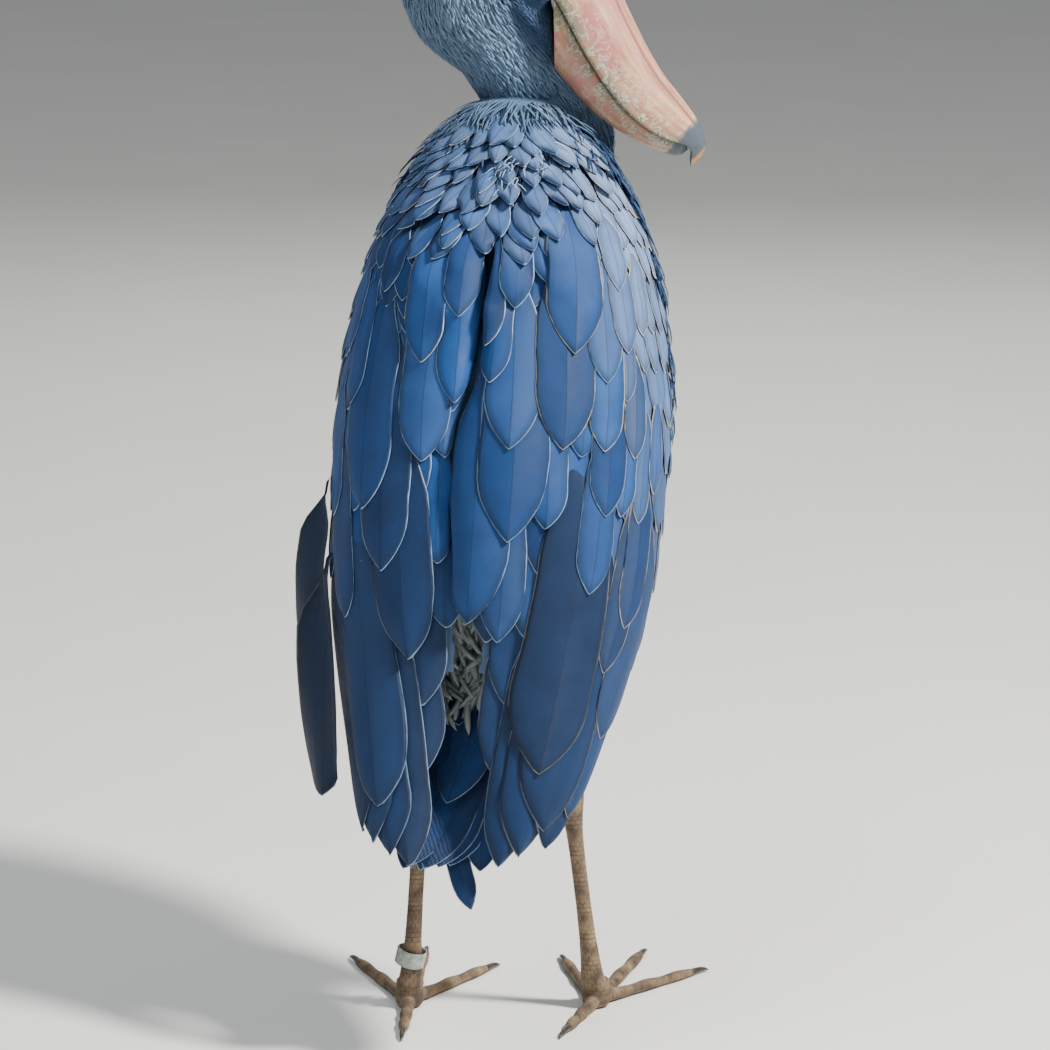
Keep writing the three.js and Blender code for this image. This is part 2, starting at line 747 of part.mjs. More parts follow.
// One leg, from the feathered thigh to the claws. Names end in the side.
function legPieces(word, trunkShape) {
  const { side, heading } = LEGS[word];
  const foot = new THREE.Vector3(...LEGS[word].foot, 0);
  const ankle = new THREE.Vector3(...LEGS[word].ankle, ANKLE.z);
  const knee = new THREE.Vector3(ankle.x - side * 3, ankle.y - 16, THIGH_END);
  const thigh = limb(
    [
      [side * 56, 0, 460, 56],
      [side * 62, 6, 400, 52],
      [blend(side * 66, knee.x, 0.5), 14, 350, 40],
      [knee.x, knee.y, knee.z, 19],
    ],
    16,
    { level: true },
  ).subtract(trunkShape);
  const shank = limb(
    [
      [knee.x, knee.y, THIGH_END - GAP, 12],
      [blend(knee.x, ankle.x, 0.5), blend(knee.y, ankle.y, 0.5), 274, 10.5],
      [ankle.x, ankle.y, ANKLE.z + 16, 11.5],
    ],
    12,
    { level: true },
  );
  const down = (t, radius) => {
    const point = ankle.clone().lerp(foot, t);
    return [point.x, point.y, point.z, radius];
  };
  const tarsus = limb(
    [
      [ankle.x, ankle.y, ANKLE.z + 16 - GAP, 12.5],
      [ankle.x, ankle.y, ANKLE.z + 6, ANKLE.radius],
      [ankle.x, ankle.y, ANKLE.z - 6, ANKLE.radius],
      down(0.11, 10.5),
      down(0.22, SHIN_RADIUS),
      down(0.45, SHIN_RADIUS - 0.5),
      down(0.64, SHIN_RADIUS + 0.2),
      down(0.75, 9.8),
      down(0.83, 11.4),
      down(1 - (HUB.top + GAP) / ANKLE.z, 14),
    ],
    12,
    { level: true },
  );
  const hub = (grown) =>
    limb(
      [
        [foot.x, foot.y, -8 - grown, HUB.radius - 2],
        [foot.x, foot.y, 4, HUB.radius],
        [foot.x, foot.y, 14, HUB.radius],
        [foot.x, foot.y, HUB.top + grown, HUB.radius - 1.5],
      ],
      14,
      { grown, level: true },
    );
  const ground = (shape) => shape.trimByPlane([0, 0, 1], 0);
  const made = [
    piece(`thigh_${word}`, thigh, "down"),
    piece(`shank_${word}`, shank, "scales"),
    piece(`tarsus_${word}`, tarsus, "scales"),
    piece(`foot_${word}`, ground(hub(0)), "scales"),
  ];
  let middleToe = wasm.Manifold.union([]);
  for (const [toe, angle, length, thick] of TOES) {
    const way = -Math.PI / 2 + side * (heading - degrees(angle));
    const ahead = new THREE.Vector3(Math.cos(way), Math.sin(way), 0);
    const at = (reach, z, radius) => [foot.x + ahead.x * reach, foot.y + ahead.y * reach, z, radius];
    const pads = [
      [0, 12, 1.25],
      [0.17, 7.2, 1],
      [0.36, 5.6, 0.82],
      [0.52, 5.8, 0.9],
      [0.68, 4.9, 0.72],
      [0.84, 5.2, 0.8],
      [1, 4.6, 0.56],
    ].map(([share, z, wide]) => at(share * length, z, wide * thick));
    const digit = limb(pads, 7).subtract(hub(GAP)).subtract(middleToe);
    if (toe === "middle") middleToe = limb(pads, 7, { grown: GAP });
    made.push(piece(`toe_${toe}_${word}`, ground(digit), "scales"));
    const nail = limb(
      [
        at(length + GAP, 4.6, CLAW.radius),
        at(length + CLAW.length * 0.45, 5, CLAW.radius * 0.8),
        at(length + CLAW.length * 0.8, 3.4, CLAW.radius * 0.5),
        at(length + CLAW.length, 1.4, CLAW.radius * 0.16),
      ],
      6,
    );
    made.push(piece(`claw_${toe}_${word}`, ground(nail), "claw"));
  }
  if (word === "left") {
    const centre = ankle.clone().lerp(foot, 1 - LEG_RING.z / ANKLE.z);
    const { inner, wall, height } = LEG_RING;
    const profile = [
      [inner, -height / 2],
      [inner + wall, -height / 2],
      [inner + wall, height / 2],
      [inner, height / 2],
      [inner, -height / 2],
    ].map(([r, z]) => new THREE.Vector2(r, z));
    const band = new THREE.LatheGeometry(profile, 24);
    band.rotateX(Math.PI / 2).rotateY(LEG_RING.tilt);
    band.translate(centre.x + LEG_RING.aside, centre.y, centre.z);
    made.push(piece("leg_ring", solid(band), "ring"));
  }
  return made;
}

const model = new THREE.Group();
const wingCuts = [LEFT, RIGHT].map((side) => wingShell(side, GAP));
const grownTrunk = trunk(GAP);
const eyes = [LEFT, RIGHT].map((side) => eye(side));
const sockets = [LEFT, RIGHT].map((side) => eye(side, GAP));
const headShape = joined([head(), ...crestVanes()]).subtract(joined(sockets));
const bareTrunk = grownTrunk.subtract(joined([LEFT, RIGHT].map((side) => wingShell(side))));
const faces = [head(GAP), billUpper(GAP), billLower(GAP)];
const [leftWing, rightWing] = [LEFT, RIGHT].map((side) => wingParts(side, bareTrunk));
model.add(
  body(wingCuts, [...leftWing, ...rightWing]),
  piece("wing_left", joined(leftWing), "plumage"),
  piece("wing_right", joined(rightWing), "plumage"),
  tail(),
  piece("neck", neckShape().subtract(joined([placed(joined(faces)), grownTrunk])), "down"),
  piece("head", placed(headShape), "down"),
  piece("bill_upper", placed(billUpper()), "bill"),
  piece("bill_lower", placed(billLower()), "bill"),
  piece("eye_left", placed(eyes[0]), "eye"),
  piece("eye_right", placed(eyes[1]), "eye"),
  ...legPieces("left", grownTrunk),
  ...legPieces("right", grownTrunk),
);

// The middle of the whole bird's outline, seen from above, is put over the origin.
const bounds = new THREE.Box3().setFromObject(model);
const centre = bounds.getCenter(new THREE.Vector3());
model.position.set(-centre.x, -centre.y, -bounds.min.z);

export default model;
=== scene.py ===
# %% [markdown]
# # A standing shoebill
# A life-size model of a shoebill, seen from behind as it looks down over its right shoulder.
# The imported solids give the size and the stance. This lesson dresses them: one skin under the whole bird,
# a soft coat on the head, neck, breast and thighs, large feathers laid one over another on the back,
# wings and tail, and a horny bill, wet eyes, scaly legs and a leg ring.

# %% The frame
import json

import bmesh
import bpy
import numpy as np
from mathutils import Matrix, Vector
from mathutils.bvhtree import BVHTree

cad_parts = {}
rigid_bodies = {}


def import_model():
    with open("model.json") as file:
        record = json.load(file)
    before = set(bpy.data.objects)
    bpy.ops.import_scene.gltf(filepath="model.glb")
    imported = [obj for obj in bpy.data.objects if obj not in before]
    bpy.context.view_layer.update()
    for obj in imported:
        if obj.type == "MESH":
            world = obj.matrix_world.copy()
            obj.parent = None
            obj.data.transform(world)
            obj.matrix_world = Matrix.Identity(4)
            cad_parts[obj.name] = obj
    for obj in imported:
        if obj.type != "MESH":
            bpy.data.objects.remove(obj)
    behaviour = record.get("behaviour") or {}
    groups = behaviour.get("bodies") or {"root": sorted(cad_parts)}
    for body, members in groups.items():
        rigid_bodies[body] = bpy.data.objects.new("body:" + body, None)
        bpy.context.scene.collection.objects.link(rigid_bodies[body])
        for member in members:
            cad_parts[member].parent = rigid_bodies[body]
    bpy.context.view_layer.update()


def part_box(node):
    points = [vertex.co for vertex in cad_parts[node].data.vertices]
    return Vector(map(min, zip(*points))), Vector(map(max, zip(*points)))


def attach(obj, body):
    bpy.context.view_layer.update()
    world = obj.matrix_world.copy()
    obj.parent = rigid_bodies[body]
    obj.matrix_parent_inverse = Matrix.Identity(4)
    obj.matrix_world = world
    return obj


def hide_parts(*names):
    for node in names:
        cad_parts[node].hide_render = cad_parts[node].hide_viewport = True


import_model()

# %% [markdown]
# ## One plan for the whole bird
# Every length below is in millimetres, in the bird's own plan: it faces -Y, and +X is its left.
# The left foot's solid tells where that plan lies in the frame, so one small shift in metres places each
# piece. A table of stations and one smooth curve through them give every rounded form.

# %% From the bird's plan to the frame
MM = 0.001
LEFT, RIGHT = 1, -1
LEFT_FOOT = np.array([90.0, 38.0])  # where the left foot stands in the plan
foot_low, foot_high = (np.array(corner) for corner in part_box("foot_left"))
plan_shift = np.append((foot_low[:2] + foot_high[:2]) / 2 - LEFT_FOOT * MM, 0.0)
print("The plan is shifted by", plan_shift.round(5), "m")


def to_frame(points):
    return np.asarray(points, float) * MM + plan_shift


def ease(value, low, high):
    t = np.clip((np.asarray(value, float) - low) / (high - low), 0, 1)
    return t * t * (3 - 2 * t)


def blend(start, end, share):
    return start + (end - start) * share


def along(table, column, place):
    """One column of a table at places between its stations, on a smooth curve through them."""
    values = np.asarray(table, float)
    values = values[:, column] if values.ndim > 1 else values
    place = np.asarray(place, float)
    i = np.clip(np.floor(place).astype(int), 0, len(values) - 2)
    here, ahead = values[i], values[i + 1]
    before = np.where(i > 0, values[np.maximum(i - 1, 0)], 2 * here - ahead)
    after = np.where(i + 2 < len(values), values[np.minimum(i + 2, len(values) - 1)], 2 * ahead - here)
    t = place - i
    bend = 2 * before - 5 * here + 4 * ahead - after + t * (3 * (here - ahead) + after - before)
    return here + 0.5 * t * (ahead - before + t * bend)


# %% [markdown]
# ## Camera, floor and light
# The camera comes first. It stands behind the bird and a little to its left, above its head's height,
# with a long lens. The bird fills the frame from the back of its head to its feet, so the top of the
# head is out of the picture. A pale floor and three wide, soft lamps stand in for the open sky with
# the sun on the right shoulder.

# %% Camera
VIEW_TURN, VIEW_RISE = np.radians(193.0), np.radians(14.0)
VIEW_DISTANCE = 4500.0
VIEW_WIDTH = 1071.0  # what the frame spans at that distance
AIM_SIDE, AIM_HEIGHT = 24.5, 513.0
SENSOR = 36.0

to_right = np.array([np.cos(VIEW_TURN), np.sin(VIEW_TURN), 0.0])
to_camera = np.array(
    [np.sin(VIEW_TURN) * np.cos(VIEW_RISE), -np.cos(VIEW_TURN) * np.cos(VIEW_RISE), np.sin(VIEW_RISE)]
)
aim = to_right * AIM_SIDE + np.array([0, 0, AIM_HEIGHT])
camera_data = bpy.data.cameras.new("Camera")
camera_data.sensor_width = SENSOR
camera_data.lens = SENSOR * VIEW_DISTANCE / VIEW_WIDTH
camera = bpy.data.objects.new("Camera", camera_data)
camera.location = to_frame(aim + to_camera * VIEW_DISTANCE)
camera.rotation_euler = Vector(-to_camera).to_track_quat("-Z", "Y").to_euler()
bpy.context.collection.objects.link(camera)
bpy.context.scene.camera = camera
print("The lens is", round(camera_data.lens, 1), "mm")

# %% [markdown]
# ## Helpers for meshes and materials
# A finished piece is a mesh whose object stays at the origin. One function makes it from points in the
# plan. Another adds one node with its settings and links, and a third turns a colour as written on
# paper (sRGB) into the linear values that Blender computes with.

# %% Helpers
def new_piece(name, points, faces, material=None, smooth=True):
    """A mesh object from points in the plan and faces as lists of corners."""
    mesh = bpy.data.meshes.new(name)
    mesh.from_pydata(to_frame(points).tolist(), [], faces)
    mesh.update()
    if smooth:
        mesh.shade_smooth()
    if material:
        mesh.materials.append(material)
    made = bpy.data.objects.new(name, mesh)
    bpy.context.collection.objects.link(made)
    return made


def add_values(mesh, name, values):
    """Stores a number or a direction at each vertex, for materials and node trees to read."""
    values = np.asarray(values, np.float32)
    kind, key = ("FLOAT_VECTOR", "vector") if values.ndim > 1 else ("FLOAT", "value")
    mesh.attributes.new(name, kind, "POINT").data.foreach_set(key, values.ravel())


def add_map(mesh, name, corners):
    """Stores a UV map from one pair of numbers for each corner of each face."""
    mesh.uv_layers.new(name=name).data.foreach_set("uv", np.asarray(corners, np.float32).ravel())


def corner_vertices(mesh):
    found = np.empty(len(mesh.loops), int)
    mesh.loops.foreach_get("vertex_index", found)
    return found


def finish_piece(piece, slot, *nodes):
    """Attaches a finished piece to the bird and hides the solids it stands for, if any. The slot is not used."""
    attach(piece, "root")
    if nodes:
        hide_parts(*nodes)
    print(piece.name, "has", sum(len(face.vertices) - 2 for face in piece.data.polygons), "triangles")
    return piece


def linear(code):
    """The linear colour of an sRGB hex value."""
    value = np.array([int(code[i : i + 2], 16) for i in (1, 3, 5)]) / 255
    value = np.where(value <= 0.04045, value / 12.92, ((value + 0.055) / 1.055) ** 2.4)
    return (*value, 1.0)


def feed(tree, node, **inputs):
    """Feeds a node's inputs: with a value, an output, or another node, which gives its first output."""
    for key, value in inputs.items():
        name = key.replace("_", " ")
        socket = node.inputs[int(name[1:])] if name[1:].isdigit() else node.inputs[name]
        value = value.outputs[0] if isinstance(value, bpy.types.Node) else value
        if isinstance(value, bpy.types.NodeSocket):
            tree.links.new(value, socket)
        else:
            socket.default_value = value


def add_node(tree, kind, settings=None, stops=None, **inputs):
    """Adds one node with its properties, the positions and colours of its ramp, and its inputs."""
    node = tree.nodes.new(kind)
    for key, value in (settings or {}).items():
        setattr(node, key, value)
    if stops:
        elements = node.color_ramp.elements
        for position, colour in stops[1:-1]:
            elements.new(position)
        for element, (position, colour) in zip(elements, stops):
            element.position, element.color = position, linear(colour)
    feed(tree, node, **inputs)
    return node


# Settings that many nodes share.
COLOURS = {"data_type": "RGBA"}
SMOOTH = {"interpolation_type": "SMOOTHSTEP"}
MULTIPLY, MULTIPLY_ADD, ABSOLUTE = ({"operation": name} for name in ("MULTIPLY", "MULTIPLY_ADD", "ABSOLUTE"))


def new_material(name, **surface):
    """An empty material with one surface shader. Uniform values sit on the shader's own sockets."""
    material = bpy.data.materials.new(name)
    material.use_nodes = True
    tree = material.node_tree
    shader = next(node for node in tree.nodes if node.type == "BSDF_PRINCIPLED")
    for key, value in surface.items():
        shader.inputs[key.replace("_", " ")].default_value = value
    return material, tree, shader


# %% [markdown]
# ## The shape of the body
# The folded wings and the body share one outline, a leaning egg that narrows to the wing tips.
# Each station has a centre, a half width, and depths behind and in front of the centre. A place on
# the bird is then a station, an angle round the body and a lift off the outline, and every feather
# of the back and wings is drawn in these three numbers.

# %% Outline
# Centre y, centre z, half width, depth behind the centre, depth in front of it.
OUTLINE = [
    [-60, 932, 62, 50, 80],
    [-48, 882, 105, 74, 114],
    [-30, 812, 144, 104, 146],
    [-12, 732, 167, 124, 165],
    [10, 642, 178, 130, 167],
    [38, 552, 178, 124, 152],
    [72, 462, 171, 107, 124],
    [112, 377, 151, 82, 92],
    [155, 302, 128, 55, 58],
    [195, 235, 110, 31, 34],
    [226, 176, 86, 14, 14],
]
BODY_X = -5.0
TRUNK_SHARE = [1, 1, 1, 1, 1, 0.96, 0.8, 0.44, 0.3]
TRUNK_END = 7.15
PLUMAGE = 12.0  # depth of the feathers over the back and wings


def middle(place):
    place = np.asarray(place, float)
    return np.stack([np.full(place.shape, BODY_X), along(OUTLINE, 0, place), along(OUTLINE, 1, place)], -1)


def down_body(place):
    run = middle(np.asarray(place) + 0.01) - middle(np.asarray(place) - 0.01)
    return run / np.linalg.norm(run, axis=-1, keepdims=True)


def outline(place, around, lift=0.0, share=1.0):
    """A point of the outline: around is 0 at the middle of the back, positive to the bird's left."""
    place, around, lift, share = np.broadcast_arrays(
        *(np.asarray(v, float) for v in (place, around, lift, share))
    )
    run = down_body(place)
    behind = np.stack([np.zeros(place.shape), -run[..., 2], run[..., 1]], -1)
    width = along(OUTLINE, 2, place) * share + lift
    depth = np.where(np.cos(around) > 0, along(OUTLINE, 3, place), along(OUTLINE, 4, place)) * share + lift
    point = middle(place) + behind * (np.cos(around) * depth)[..., None]
    point[..., 0] += np.sin(around) * width
    return point


# %% [markdown]
# ## The neck, the head and the legs under the feathers
# The neck is a bent tube, flatter from side to side of the head. The head and bill have a frame of
# their own: its origin is the corner of the mouth, +X runs along the bill, +Z is up and +Y is the
# head's left. One turn and one drop set them looking down over the right shoulder.

# %% Neck and head
MOUTH_CORNER = np.array([-37.0, -70.0, 1060.0])
HEAD_TURN, BILL_DROP = np.radians(77), np.radians(48)
turn, drop = -np.pi / 2 - HEAD_TURN, BILL_DROP
head_axes = np.array(
    [[np.cos(turn), -np.sin(turn), 0], [np.sin(turn), np.cos(turn), 0], [0, 0, 1]]
) @ np.array([[np.cos(drop), 0, np.sin(drop)], [0, 1, 0], [-np.sin(drop), 0, np.cos(drop)]])

NECK = [  # centre x, y, z and radius, from inside the body up to the back of the head
    [-30, -100, 835, 42],
    [-38, -100, 885, 58],
    [-27, -88, 935, 58],
    [9, -71, 1000, 61],
    [42, -60, 1052, 74],
    [50, -58, 1106, 58],
    [44, -58, 1146, 22],
]
NECK_FLAT = 0.76
HEAD = [  # x, top, underside, half width
    [-140, 26, -6, 8],
    [-130, 47, -34, 29],
    [-106, 62, -57, 43],
    [-76, 71, -66, 50],
    [-44, 75, -66, 52],
    [-16, 70, -60, 51.5],
    [8, 63, -48, 49.5],
]
THROAT = [
    [-50, -10, -62, 30],
    [-20, -6, -63, 42],
    [20, -12, -61, 41],
    [46, -30, -57, 33],
    [62, -42, -51, 16],
]
THROAT_EDGE = [[8, -6.5], [56, -48]]  # where the throat's feathers end on the lower bill
LEGS = {
    "left": {"side": LEFT, "foot": (90, 38), "ankle": (71, 54), "heading": 8},
    "right": {"side": RIGHT, "foot": (-100, -6), "ankle": (-80, 34), "heading": 6},
}
ANKLE_HEIGHT, KNEE_HEIGHT = 242.0, 300.0


def from_head(points):
    return np.asarray(points, float) @ head_axes.T + MOUTH_CORNER


def turns(count):
    return np.arange(count) * 2 * np.pi / count


def head_rings(table, count, sides, lift=0.0):
    """Oval rings along the head's own x axis, from a table of x, top, underside and half width."""
    place = np.linspace(0, len(table) - 1, count)[:, None]
    x, top, under, half = (along(table, column, place) for column in range(4))
    angle = turns(sides)[None, :]
    y = np.cos(angle) * np.maximum(half + lift, 1)
    z = (top + under) / 2 + np.sin(angle) * np.maximum((top - under) / 2 + lift, 1)
    return np.stack(np.broadcast_arrays(x, y, z), -1)


def limb_rings(stations, count, sides, lift=0.0, level=False, axis=(0, 1, 0), flat=1.0):
    """Round rings along stations of x, y, z and radius, level or square to their run."""
    place = np.linspace(0, len(stations) - 1, count)
    points = np.stack([along(stations, column, place) for column in range(3)], -1)
    radius = along(stations, 3, place)
    ahead = np.gradient(points, axis=0)
    ahead /= np.linalg.norm(ahead, axis=1, keepdims=True)
    if level:
        ahead[:] = (0, 0, 1)
    across = np.cross(ahead, np.asarray(axis, float))
    across /= np.linalg.norm(across, axis=1, keepdims=True)
    other = np.cross(ahead, across)
    angle = turns(sides)[None, :, None]
    reach = np.maximum(radius + lift, 0.5)[:, None, None]
    depth = np.maximum(radius * flat + lift, 0.5)[:, None, None]
    return points[:, None] + across[:, None] * np.cos(angle) * reach + other[:, None] * np.sin(angle) * depth


def thigh_stations(leg):
    side, (ankle_x, ankle_y) = leg["side"], leg["ankle"]
    knee = (ankle_x - side * 3, ankle_y - 16)
    return [
        [side * 56, 0, 460, 56],
        [side * 62, 6, 400, 52],
        [(side * 66 + knee[0]) / 2, 14, 350, 40],
        [*knee, KNEE_HEIGHT, 19],
    ]


def loft(rings):
    """Points and faces of a closed skin over rings of points."""
    count, sides = rings.shape[:2]
    points = [*rings.reshape(-1, 3), rings[0].mean(0), rings[-1].mean(0)]
    faces = []
    for r in range(count - 1):
        for k in range(sides):
            a, b = r * sides + k, r * sides + (k + 1) % sides
            faces.append([a, b, b + sides, a + sides])
    first, last = count * sides, count * sides + 1
    for k in range(sides):
        faces.append([(k + 1) % sides, k, first])
        faces.append([(count - 1) * sides + k, (count - 1) * sides + (k + 1) % sides, last])
    return np.array(points), faces


def volume(points, faces):
    return sum(
        np.dot(points[face[0]], np.cross(points[face[i]], points[face[i + 1]]))
        for face in faces
        for i in range(1, len(face) - 1)
    )


def facing_out(points, faces):
    """The faces of a closed form, all turned about if they look into it."""
    return [face[::-1] for face in faces] if volume(points, faces) < 0 else faces


def closed_form(name, rings):
    points, faces = loft(np.asarray(rings))
    return new_piece(name, points, facing_out(points, faces))


# %% [markdown]
# ## One skin
# On a real bird the skin runs without a seam from head to tail, and the feathers stand in it. Here
# closed forms for the trunk, wings, neck, head, throat, thighs and tail root are joined and remeshed
# into one even surface, then smoothed. It lies inside the solids by the depth of each coat, and what
# shows of it between feathers has their colour.

# %% Depths of the coats
COAT_HEAD, COAT_NECK, COAT_BREAST, COAT_THIGH = 4.0, 6.0, 7.0, 8.0
SKIN_VOXEL = 4.0
TAIL_ROOT_LENGTH = 40.0
neck_axis = head_axes[:, 1]


def trunk_rings(count=56, sides=72):
    """The trunk: a coat's depth inside the outline in front, deeper under the large feathers behind."""
    place = np.linspace(-0.1, TRUNK_END, count)[:, None]
    around = turns(sides)[None, :]
    around = np.where(around > np.pi, around - 2 * np.pi, around)
    front = ease(np.abs(around), np.radians(124), np.radians(165))
    lift = blend(-PLUMAGE - 1.5, -COAT_BREAST, front)
    share = along(TRUNK_SHARE, 0, np.minimum(place, len(TRUNK_SHARE) - 1))
    return outline(place, around, lift, share)


def wing_rings(side, count=26, half=10):
    """A flat pad under each folded wing, where the trunk has drawn away from it."""
    place = np.linspace(3.2, 7.05, count)[:, None]
    inner = np.radians(blend(58, 5, ease(place, 0.85, 2.9)))
    outer = np.radians(110 - 12 * ease(place, 4.6, 7.1))
    share = np.linspace(0, 1, half)
    around = np.concatenate([share, share[::-1]])[None, :]
    lift = np.concatenate([np.full(half, -PLUMAGE - 1.5), np.full(half, -PLUMAGE - 8)])[None, :]
    return outline(place, side * blend(inner, outer, around), lift)


def tail_root_rings():
    down = down_body(TRUNK_END + 0.02)
    behind = np.array([0, -down[2], down[1]])
    share = np.array([-0.6, 0, 0.35, 0.75, 0.96])[:, None, None]
    angle = turns(24)[None, :, None]
    wide = np.array([30, 32, 33, 29, 20])[:, None, None]
    thick = np.array([12, 12, 11, 8, 4])[:, None, None]
    across = np.array([1.0, 0, 0])
    centres = middle(TRUNK_END) + down * share * TAIL_ROOT_LENGTH
    return centres + across * np.cos(angle) * wide + behind * np.sin(angle) * thick


forms = {
    "trunk": closed_form("form_trunk", trunk_rings()),
    "neck": closed_form("form_neck", limb_rings(NECK, 36, 44, -COAT_NECK, axis=neck_axis, flat=NECK_FLAT)),
    "head": closed_form("form_head", from_head(head_rings(HEAD, 36, 56, -COAT_HEAD))),
    "tail": closed_form("form_tail", tail_root_rings()),
}
for word, leg in LEGS.items():
    forms["thigh_" + word] = closed_form(
        "form_thigh_" + word, limb_rings(thigh_stations(leg), 24, 32, -COAT_THIGH, level=True)
    )
    forms["wing_" + word] = closed_form("form_wing_" + word, wing_rings(leg["side"]))


def throat_form():
    """The throat, cut along the edge where its feathers end on the bill."""
    points, faces = loft(head_rings(THROAT, 24, 40, -COAT_HEAD))
    faces = facing_out(points, faces)
    (x, z), (end_x, end_z) = THROAT_EDGE
    form = bmesh.new()
    corners = [form.verts.new(point) for point in points]
    for face in faces:
        form.faces.new([corners[i] for i in face])
    cut = bmesh.ops.bisect_plane(
        form,
        geom=[*form.verts, *form.edges, *form.faces],
        plane_co=(x, 0, z - 1.5),
        plane_no=(z - end_z, 0, end_x - x),
        clear_outer=True,
    )
    bmesh.ops.holes_fill(
        form, edges=[item for item in cut["geom_cut"] if isinstance(item, bmesh.types.BMEdge)]
    )
    form.verts.index_update()
    points = from_head([tuple(vertex.co) for vertex in form.verts])
    faces = [[vertex.index for vertex in face.verts] for face in form.faces]
    form.free()
    return new_piece("form_throat", points, faces)


forms["throat"] = throat_form()
print(len(forms), "closed forms stand under the skin")


# %% [markdown]
# ## From many forms to one surface
# Overlapping forms could be joined by booleans, which leave sharp seams. Skin has none, so the forms
# are remeshed together on a fine grid, which rounds the seams, and then relaxed a few times.

# %% Joining the forms into one skin
def evaluated_mesh(item, name):
    """The mesh of an object with its modifiers applied, as plain data."""
    depsgraph = bpy.context.evaluated_depsgraph_get()
    mesh = bpy.data.meshes.new_from_object(
        item.evaluated_get(depsgraph), preserve_all_data_layers=True, depsgraph=depsgraph
    )
    mesh.name = name
    return mesh


def remeshed(name, sources, voxel, rounds):
    """Joins closed forms, remeshes them evenly and relaxes the surface."""
    points, faces, start = [], [], 0
    for source in sources:
        mesh = source.data
        points += [tuple(vertex.co) for vertex in mesh.vertices]
        faces += [[start + i for i in face.vertices] for face in mesh.polygons]
        start = len(points)
    mesh = bpy.data.meshes.new(name)
    mesh.from_pydata(points, [], faces)
    made = bpy.data.objects.new(name, mesh)
    bpy.context.collection.objects.link(made)
    remesh = made.modifiers.new("even surface", "REMESH")
    remesh.mode, remesh.voxel_size = "VOXEL", voxel * MM
    relax = made.modifiers.new("relaxed", "SMOOTH")
    relax.factor, relax.iterations = 0.5, rounds
    made.data = evaluated_mesh(made, name)
    made.modifiers.clear()
    made.data.shade_smooth()
    return made


skin = remeshed("bird_skin", forms.values(), SKIN_VOXEL, 8)
print("The skin has", len(skin.data.vertices), "vertices")

# %% [markdown]
# ## Markings shared by skin and coat
# The head is a dark slate near the bill and turns a paler, mistier grey-blue towards the nape. The
# neck is soft and pale, and a dark collar lies where it enters the body. One function gives this
# paleness for any point of the plan, so that the skin and every tuft on it agree.

# %% Markings
def paleness(points):
    """0 for dark slate, 1 for misty blue-grey, at points of the plan."""
    points = np.asarray(points, float)
    own = (points - MOUTH_CORNER) @ head_axes
    on_head = ease(own[..., 2], -75, -45) * ease(points[..., 2], 950, 1000)
    head_part = blend(0.62, 0.16, ease(own[..., 0], -62, -4))
    neck_part = blend(0.05, 0.6, ease(points[..., 2], 890, 985))
    body_part = blend(0.42, 0.05, ease(points[..., 2], 300, 850))
    upper = blend(neck_part, head_part, on_head)
    return blend(body_part, upper, ease(points[..., 2], 880, 930))


def plan_points(mesh):
    found = np.empty(len(mesh.vertices) * 3)
    mesh.vertices.foreach_get("co", found)
    return (found.reshape(-1, 3) - plan_shift) / MM


add_values(skin.data, "pale", paleness(plan_points(skin.data)))


# %% Plumage material
# Feather is keratin, dry and finely barbed: matt, with a faint bloom where the barbs catch the light.
def plumage_material(name, dark, light, sheen=0.15):
    material, tree, shader = new_material(
        name, Roughness=0.8, Specular_IOR_Level=0.15, Sheen_Weight=sheen * 0.4, Sheen_Roughness=0.5
    )
    coordinates = add_node(tree, "ShaderNodeTexCoord").outputs["Object"]
    pale = add_node(tree, "ShaderNodeAttribute", {"attribute_name": "pale"}).outputs["Fac"]
    own = add_node(tree, "ShaderNodeAttribute", {"attribute_name": "own"}).outputs["Fac"]
    drift = add_node(tree, "ShaderNodeTexNoise", Vector=coordinates, Scale=1 / (45 * MM), Detail=3.0)
    parts = add_node(tree, "ShaderNodeMath", MULTIPLY_ADD, _0=own, _1=0.13, _2=pale)
    share = add_node(tree, "ShaderNodeMath", MULTIPLY_ADD, _0=drift, _1=0.25, _2=parts)
    ramp = add_node(tree, "ShaderNodeValToRGB", stops=((0.2, dark), (1.0, light)), Fac=share)
    grain = add_node(tree, "ShaderNodeTexNoise", Vector=coordinates, Scale=1 / (1.6 * MM), Detail=2.0)
    bump = add_node(tree, "ShaderNodeBump", Height=grain, Strength=0.25, Distance=0.4 * MM)
    feed(tree, shader, Base_Color=ramp.outputs["Color"], Normal=bump.outputs["Normal"])
    return material


soft_plumage = plumage_material("soft slate plumage", "#12325a", "#7c98b4")
skin.data.materials.append(soft_plumage)
SKIN_NODES = ["torso", "neck", "head", "wing_left", "wing_right", "tail", "thigh_left", "thigh_right"]
finish_piece(skin, "slate_plumage", *SKIN_NODES)

# %% [markdown]
# ## A tree that lays small feathers
# The soft coats are thousands of small feathers. A Geometry Nodes tree scatters their roots evenly on
# a form, turns each to the lie of the coat, tilts and sizes it by seeded draws, and puts one small
# closed blade there. It also writes the map OFBake: each blade is a tiny patch at its root's place on
# the form's own unwrap. The form carries the lie, the paleness, the length and where feathers grow.

